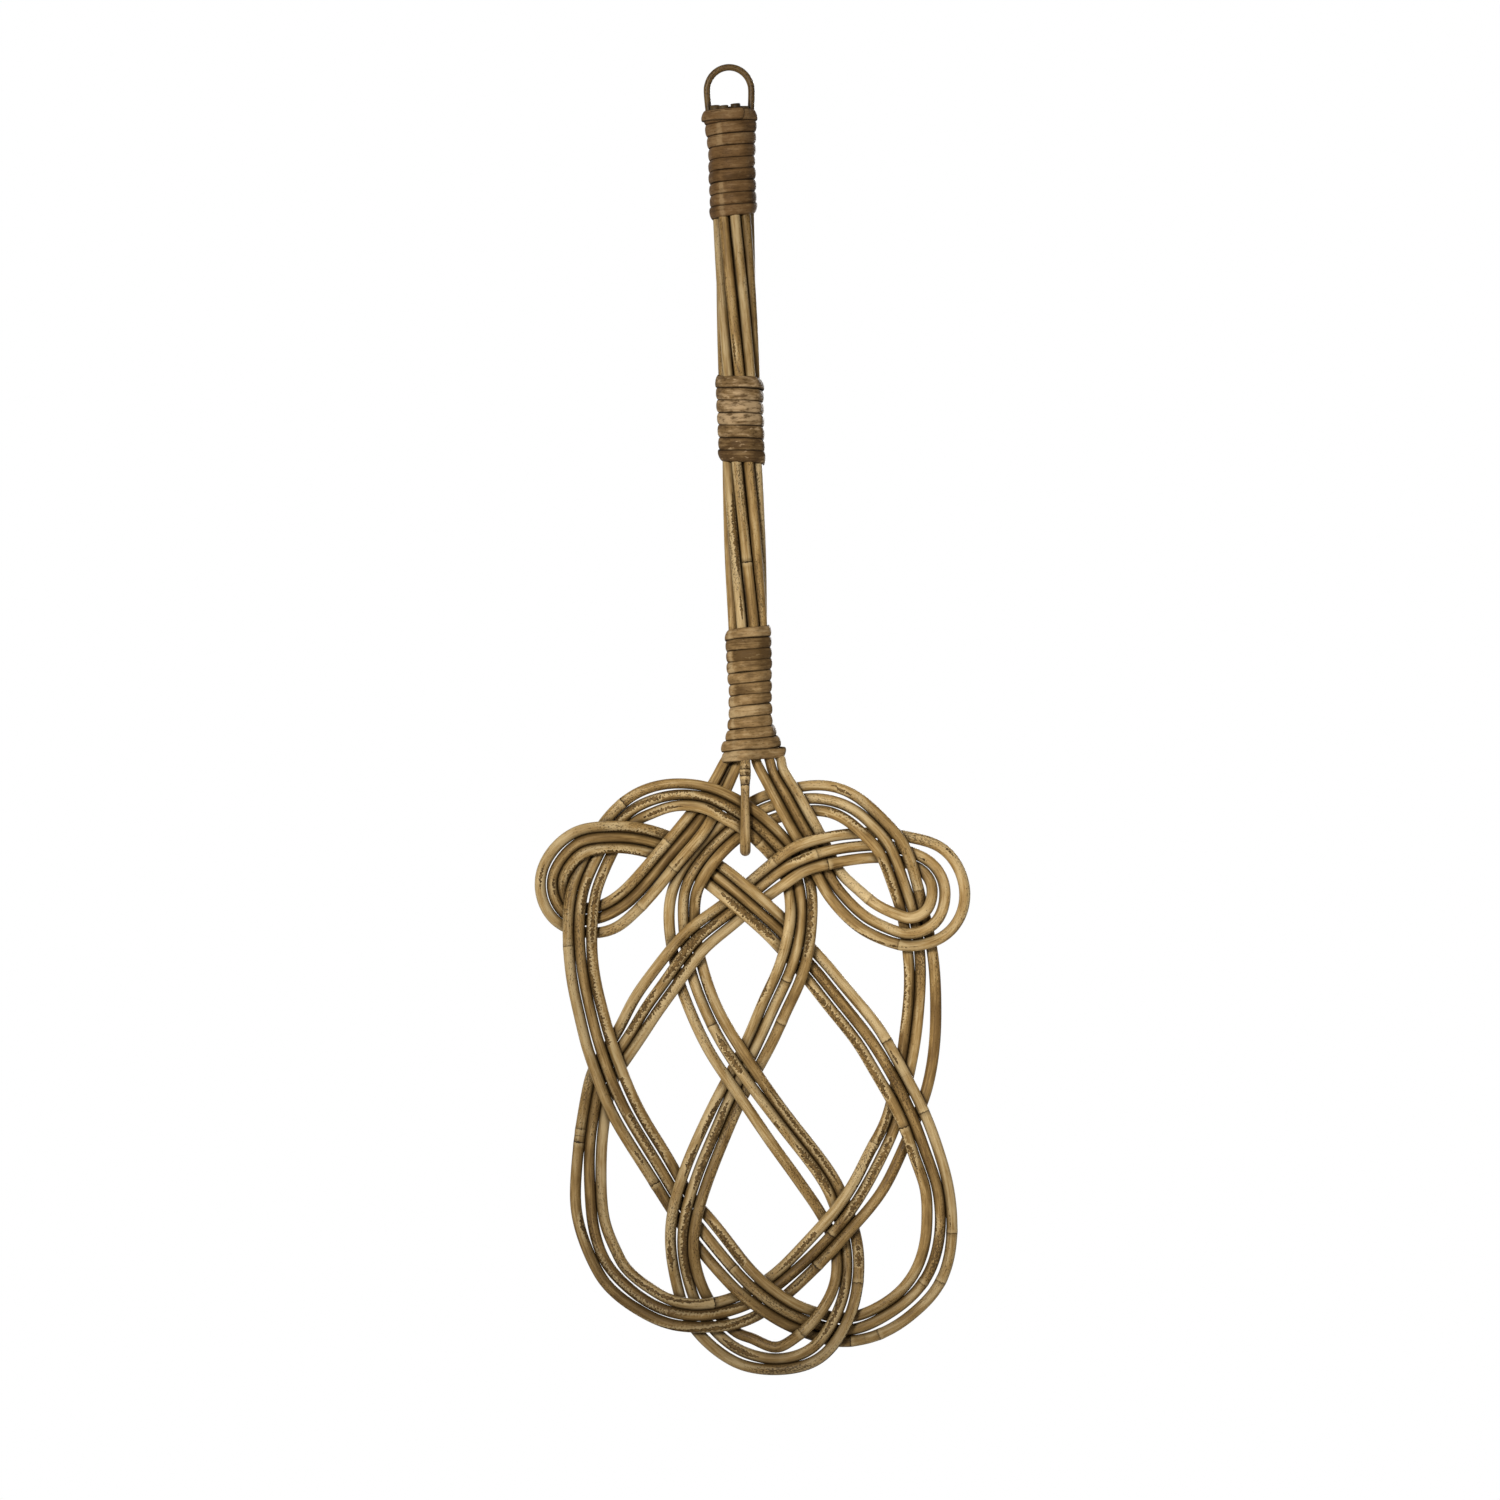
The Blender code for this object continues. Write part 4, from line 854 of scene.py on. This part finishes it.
def build_tube(node, slot, marks, scars, seed):
    """One cane as a round piece with swellings at its growth rings, cut square at both ends."""
    path, radii = every_line[node]
    along = lengths(path)
    ahead, side, other = carried_frame(path)
    ring_at, ring_dark = ring_marks(along, marks)
    radius = radii * swelling(along, ring_at, seed)
    turn = np.arange(SIDES) * FULL_TURN / SIDES
    circle = np.stack([np.cos(turn), np.sin(turn)])
    out = side[:, None] * circle[0][:, None] + other[:, None] * circle[1][:, None]
    body = path[:, None] + out * radius[:, None, None]

    # each end is bevelled a little, then closed by a face of its own
    first, last = (path[end] + out[end] * (radius[end] - BEVEL) + way * ahead[end] * BEVEL
                   for end, way in ((0, -1), (-1, 1)))
    count = len(body) + 2
    faces = tube_faces(count, SIDES)
    start, end = (count - 1) * SIDES, count * SIDES
    caps = []
    for j in range(SIDES):
        k = (j + 1) % SIDES
        caps += [(end, k, j), (end + 1, start + j, start + k)]
    points = [first, body.reshape(-1, 3), last, [first.mean(0), last.mean(0)]]
    piece = new_mesh(node + "_round", np.concatenate(points), faces + caps)
    mesh = piece.data

    def per_ring(values):
        values = with_ends(values)
        return np.append(np.repeat(values, SIDES), [values[0], values[-1]])

    def per_point(values, at_centres=(0, 0)):
        return np.append(with_ends(values).ravel(), at_centres)

    # where each point lies on the cane, in mm: along it, and on a circle round it
    mm = radii.mean() / MM
    grain = np.zeros((count, SIDES, 3))
    grain[..., 0] = (with_ends(along) / MM + CANE_GRAIN * seed)[:, None]
    grain[..., 1:] = mm * circle.T
    give(mesh, "grain", np.concatenate([grain.reshape(-1, 3), np.zeros((2, 3))]))
    give(mesh, "tone", per_ring(tones_of(along, marks, seed)))
    # painted shade: how far other canes lie, to darken the tone near them
    gaps = gaps_of(body, path, along, node)
    shaded_tone = shaded_tone_of(path, slot, gaps)
    shaded_tone = per_point(shaded_tone, (shaded_tone[0].mean(), shaded_tone[-1].mean()))
    give(mesh, "shaded_tone", np.repeat(shaded_tone[:, None], 3, axis=1))
    give(mesh, "ring_at", per_ring(ring_at))
    give(mesh, "ring_dark", per_ring(ring_dark))
    aside, on = scar_fields(path, along, ahead, out, turn, mm, scars, seed)
    give(mesh, "scar_aside", per_point(aside))
    give(mesh, "scar_on", per_ring(on))
    # painted shade: marks where another cane lies within CREVICE, for a darker painted shade
    give(mesh, "crevice", per_point(np.clip(1 - gaps / CREVICE, 0, 1)))
    give(mesh, "edge", np.append(np.ones(count * SIDES), [0, 0]))

    mesh.materials.append(skins[slot])
    mesh.materials.append(END)
    is_cap = np.arange(len(mesh.polygons)) >= len(faces)
    mesh.polygons.foreach_set("material_index", is_cap.astype(np.int32))
    mesh.polygons.foreach_set("use_smooth", ~is_cap)
    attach(piece, "root")
    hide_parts(node)


# ---------------------------------------------------------------- windings


def headings(line):
    """Forward and outward directions of a wound line, and how far round it has come."""
    ahead = unit(np.gradient(line, axis=0))
    level = unit(ahead * (1, 1, 0))
    out = np.stack([level[:, 1], -level[:, 0], np.zeros(len(line))], axis=1)
    if (out * line).sum() < 0:
        out = -out
    heading = np.unwrap(np.arctan2(out[:, 1], out[:, 0]))
    turned = np.maximum.accumulate(np.sign(heading[-1] - heading[0]) * heading)
    return ahead, out, turned + np.arange(len(turned)) * 1e-9


def with_top_turn(line, out, turned, width, share):
    """The line with one more, level turn over the highest one, as the binder ended it."""
    more = np.arange(TOP_TURN_FROM, FULL_TURN * share, STRIP_STEP / TOP_RADIUS)
    where = turned[-1] - FULL_TURN + more
    below = rows_at(where, turned, line)
    over = np.clip(1 - (line[-1, 2] - below[:, 2]) / width, 0, 1)
    added = below + rows_at(where, turned, out) * (STRIP_THICK * 0.5 * over)[:, None]
    added[:, 2] = line[-1, 2]
    return soften(np.concatenate([line, added]), EVEN_LINE)


def leaning(line, out, turned):
    """How far a winding leans, from how far out the turns above and below it lie."""
    def one_turn(shift):
        there = rows_at(np.clip(turned + shift, turned[0], turned[-1]), turned, line)
        return (there * out).sum(1), there[:, 2]

    above, z_above = one_turn(FULL_TURN)
    below, z_below = one_turn(-FULL_TURN)
    lean = np.arctan((above - below) / np.maximum(z_above - z_below, LEAST_CLIMB))
    return soften(np.clip(lean, -STRIP_LEAN, STRIP_LEAN), EVEN_LEAN)


def build_strip(node, seed, tones=(), painted_glint_at=None, top_turn=0.0, drawn_in=0.0):
    """A wound strip on its CAD line, half round outside, leaning with what it is wound on.

    The tones are bands of height that are lighter or darker. A painted highlight may be laid on
    the strip's ridge, as glints at a given distance across its front.
    """
    centres, width = strip_line(node)
    width += STRIP_WIDER
    along = lengths(centres)
    at = np.linspace(0, along[-1], math.ceil(along[-1] / STRIP_STEP) + 1)
    line = soften(rows_at(at, along, centres), EVEN_LINE)
    # wound nearly level in front, with more of the climb at the back
    slope = np.gradient(line[:, 2]) * np.gradient(line[:, 0])
    rises = np.sign(slope[line[:, 1] < 0].sum())
    line[:, 2] -= LEVELLED * rises * (line[:, 0] - line[:, 0].mean())
    ahead, out, turned = headings(line)
    if top_turn:
        line = with_top_turn(line, out, turned, width, top_turn)
        at = lengths(line)
        ahead, out, turned = headings(line)

    lean = leaning(line, out, turned)[:, None]
    up = np.cross(out, ahead)
    up = unit(up * np.sign(up[:, 2:3]))
    tilted = up * np.cos(lean) + out * np.sin(lean)
    face = out * np.cos(lean) - up * np.sin(lean)
    pull = ramp(DRAWN_TO - at, DRAWN_OVER) + TUCKED_MORE * (1 - ramp(at, TUCKED)) ** 2
    line = line - out * (drawn_in * pull)[:, None]
    line = line + out * (STRIP_LIFT + drift(at, STRIP_OUT, seed))[:, None]
    line = line + up * drift(at, STRIP_UP, seed + 1)[:, None]
    tip = ramp(np.minimum(at, at[-1] - at), ROUND_END)
    tip = np.sqrt(1 - 0.85 * (1 - tip) ** 2)
    wide = width * (1 + drift(at, STRIP_WIDE, seed + 2)) / 2 * tip

    rows = [line + tilted * (share * wide)[:, None] + face * (height * tip)[:, None]
            for share, height in zip(OUTSIDE, CROWN)]
    rows += [line + tilted * (share * wide)[:, None] - face * STRIP_THICK / 2
             for share in INSIDE]
    points = np.stack(rows, axis=1)
    rings, sides = points.shape[:2]
    faces = tube_faces(rings, sides)
    faces.append(tuple(range(sides))[::-1])
    faces.append(tuple((rings - 1) * sides + j for j in range(sides)))
    piece = new_mesh(node + "_strip", points, faces)
    mesh = piece.data
    mesh.validate()

    # where each point lies on the strip, in mm: along it and across it, on a plane of its own
    grain = np.full((rings, sides, 3), 40.0)
    grain[..., 0] = (at / MM + STRIP_GRAIN * seed)[:, None]
    grain[..., 1] = np.append(OUTSIDE, INSIDE) * width / 2 / MM
    give(mesh, "grain", grain.reshape(-1, 3))
    quick, slow = STRIP_TONES
    tone = drift(at, quick, seed + 3) + drift(at, slow, seed + 4)
    for low, high, amount in tones:
        tone = tone + amount * within(line[:, 2], low, high, BAND_FADE)
    # painted highlight: glints along the ridge on the front, added to the tone
    if painted_glint_at is not None:
        glint = bell(line[:, 0], painted_glint_at, PAINTED_GLINT_WIDE) * (line[:, 1] < 0)
        whole = np.clip(wander(at, PAINTED_GLINT_OVER, seed + 5) - PAINTED_GLINT_FROM, 0, 1)
        tone = tone + PAINTED_GLINT * glint * whole
    give(mesh, "tone", np.repeat(tone, sides))
    give(mesh, "edge", np.tile(np.append(np.abs(OUTSIDE), [1, 1]), rings))
    mesh.materials.append(skins[node])
    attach(piece, "root")
    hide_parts(node)


# ---------------------------------------------------------------- the beater


marks = {name: [] for name in LONG_CANES}
for column, row, dark in GROWTH_RINGS:
    name, place = nearest_on_canes(from_picture(column, row))
    marks[name].append((place, dark))

scars = {name: [] for name in LONG_CANES}
for column, row, to_column, to_row, strength, lean in SCARS:
    found = stretch_on_canes(from_picture(column, row), from_picture(to_column, to_row))
    if found:
        name, *ends = found
        scars[name].append((min(ends), max(ends), strength, lean))

for seed, name in enumerate(LONG_CANES, 3):
    path, _ = every_line[name]
    along = lengths(path)
    random = np.random.RandomState(seed)
    place = RINGS_FROM_END
    while place < along[-1] - RINGS_FROM_END:
        in_handle = path[np.searchsorted(along, place), 2] > COLLAR_BOTTOM
        clear = all(abs(place - mark[0]) > RINGS_CLEAR for mark in marks[name])
        if clear and not in_handle:
            marks[name].append((place, random.uniform(*RINGS_DARK)))
        place += random.uniform(*RINGS_APART)
    build_tube(name, name, marks[name], scars[name], seed)

build_tube("handle_cane_left", "handle_cane", [(0.20, 0.5)], [], 11)
build_tube("handle_cane_right", "handle_cane", [(0.20, 0.5)], [], 12)
build_tube("core_cane", "core_cane", [(0.15, 0.5)], [], 17)
build_tube("hanging_loop", "loop", [(0.012, 0.4)], [], 19)

# the hook is ringed and scarred at its head, which lies in the first half of its line
path, _ = every_line["retaining_hook"]
along = lengths(path)
off = np.abs(path[:, 2] - (COLLAR_BOTTOM - HOOK_HEAD))
head = along[np.argmin(off + (along > along[-1] / 2))]
hook_marks = [(head + place, dark) for place, dark in HOOK_RINGS]
low, high, *scar = HOOK_SCAR
build_tube("retaining_hook", "hook", hook_marks, [(head + low, head + high, *scar)], 23)

build_strip("top_wrap", 31, painted_glint_at=-0.0065, top_turn=0.995)
build_strip("middle_wrap", 37, tones=[(-0.212, -0.200, 1.6)])
build_strip("collar_wrap", 41, tones=[(-0.42, -0.38, 0.3), (-0.352, -0.336, -1.0)],
            painted_glint_at=-0.0106, drawn_in=0.0010)


# ---------------------------------------------------------------- studio


def stage_floor():
    size, z = 1.0, -1.0
    points = np.array([(-size, -size, z), (size, -size, z), (size, size, z), (-size, size, z)])
    floor = new_mesh("studio_floor", points, [(0, 1, 2, 3)], False)
    g = Graph("studio_floor", (0.9, 0.9, 0.9, 1))
    g.shader.inputs["Base Color"].default_value = (0.86, 0.86, 0.86, 1)
    g.shader.inputs["Roughness"].default_value = 0.9
    floor.data.materials.append(g.material)


def look_at(thing, place, target, roll=0.0):
    """Stands a lamp or a camera somewhere, aimed at a target."""
    back = np.array(place, dtype=float) - np.array(target, dtype=float)
    back /= np.linalg.norm(back)
    right = np.cross((0, 0, 1), back)
    right /= np.linalg.norm(right)
    up = np.cross(back, right)
    turned = right * math.cos(roll) - up * math.sin(roll)
    up = up * math.cos(roll) + right * math.sin(roll)
    rows = [[turned[k], up[k], back[k], place[k]] for k in range(3)]
    thing.matrix_world = Matrix(rows + [[0, 0, 0, 1]])


def hang_lamps():
    for name, (place, width, watts) in LAMPS.items():
        data = bpy.data.lights.new(name, "AREA")
        data.shape = "DISK"
        data.size = width
        data.energy = watts
        lamp = bpy.data.objects.new(name, data)
        bpy.context.scene.collection.objects.link(lamp)
        look_at(lamp, place, AIM)


def light_world():
    """Soft light from all round, and plain white for the camera and for reflections."""
    world = bpy.data.worlds.new("studio")
    bpy.context.scene.world = world
    world.use_nodes = True
    tree = world.node_tree
    soft = tree.nodes["Background"]
    white = tree.nodes.new("ShaderNodeBackground")
    for node, strength in ((soft, WORLD_LIGHT), (white, WHITE)):
        node.inputs["Color"].default_value = (1, 1, 1, 1)
        node.inputs["Strength"].default_value = strength

    def either(a, b):
        node = tree.nodes.new("ShaderNodeMath")
        node.operation = "ADD"
        node.use_clamp = True
        tree.links.new(a, node.inputs[0])
        tree.links.new(b, node.inputs[1])
        return node.outputs[0]

    rays = tree.nodes.new("ShaderNodeLightPath").outputs
    shown = either(rays["Is Camera Ray"], rays["Is Transmission Ray"])
    mixed = tree.nodes.new("ShaderNodeMixShader")
    tree.links.new(either(shown, rays["Is Glossy Ray"]), mixed.inputs[0])
    tree.links.new(soft.outputs[0], mixed.inputs[1])
    tree.links.new(white.outputs[0], mixed.inputs[2])
    tree.links.new(mixed.outputs[0], tree.nodes["World Output"].inputs["Surface"])


def stand_camera():
    data = bpy.data.cameras.new("camera")
    data.sensor_width = SENSOR
    data.lens = SENSOR * CAMERA_DISTANCE / (PICTURE * PIXEL)
    camera = bpy.data.objects.new("camera", data)
    bpy.context.scene.collection.objects.link(camera)
    bpy.context.scene.camera = camera
    x, z = from_picture(PICTURE / 2, PICTURE / 2)
    look_at(camera, (x, -CAMERA_DISTANCE, z), (x, 0, z), TILT)


stage_floor()
light_world()
hang_lamps()
stand_camera()
bpy.context.scene.view_settings.view_transform = "Standard"
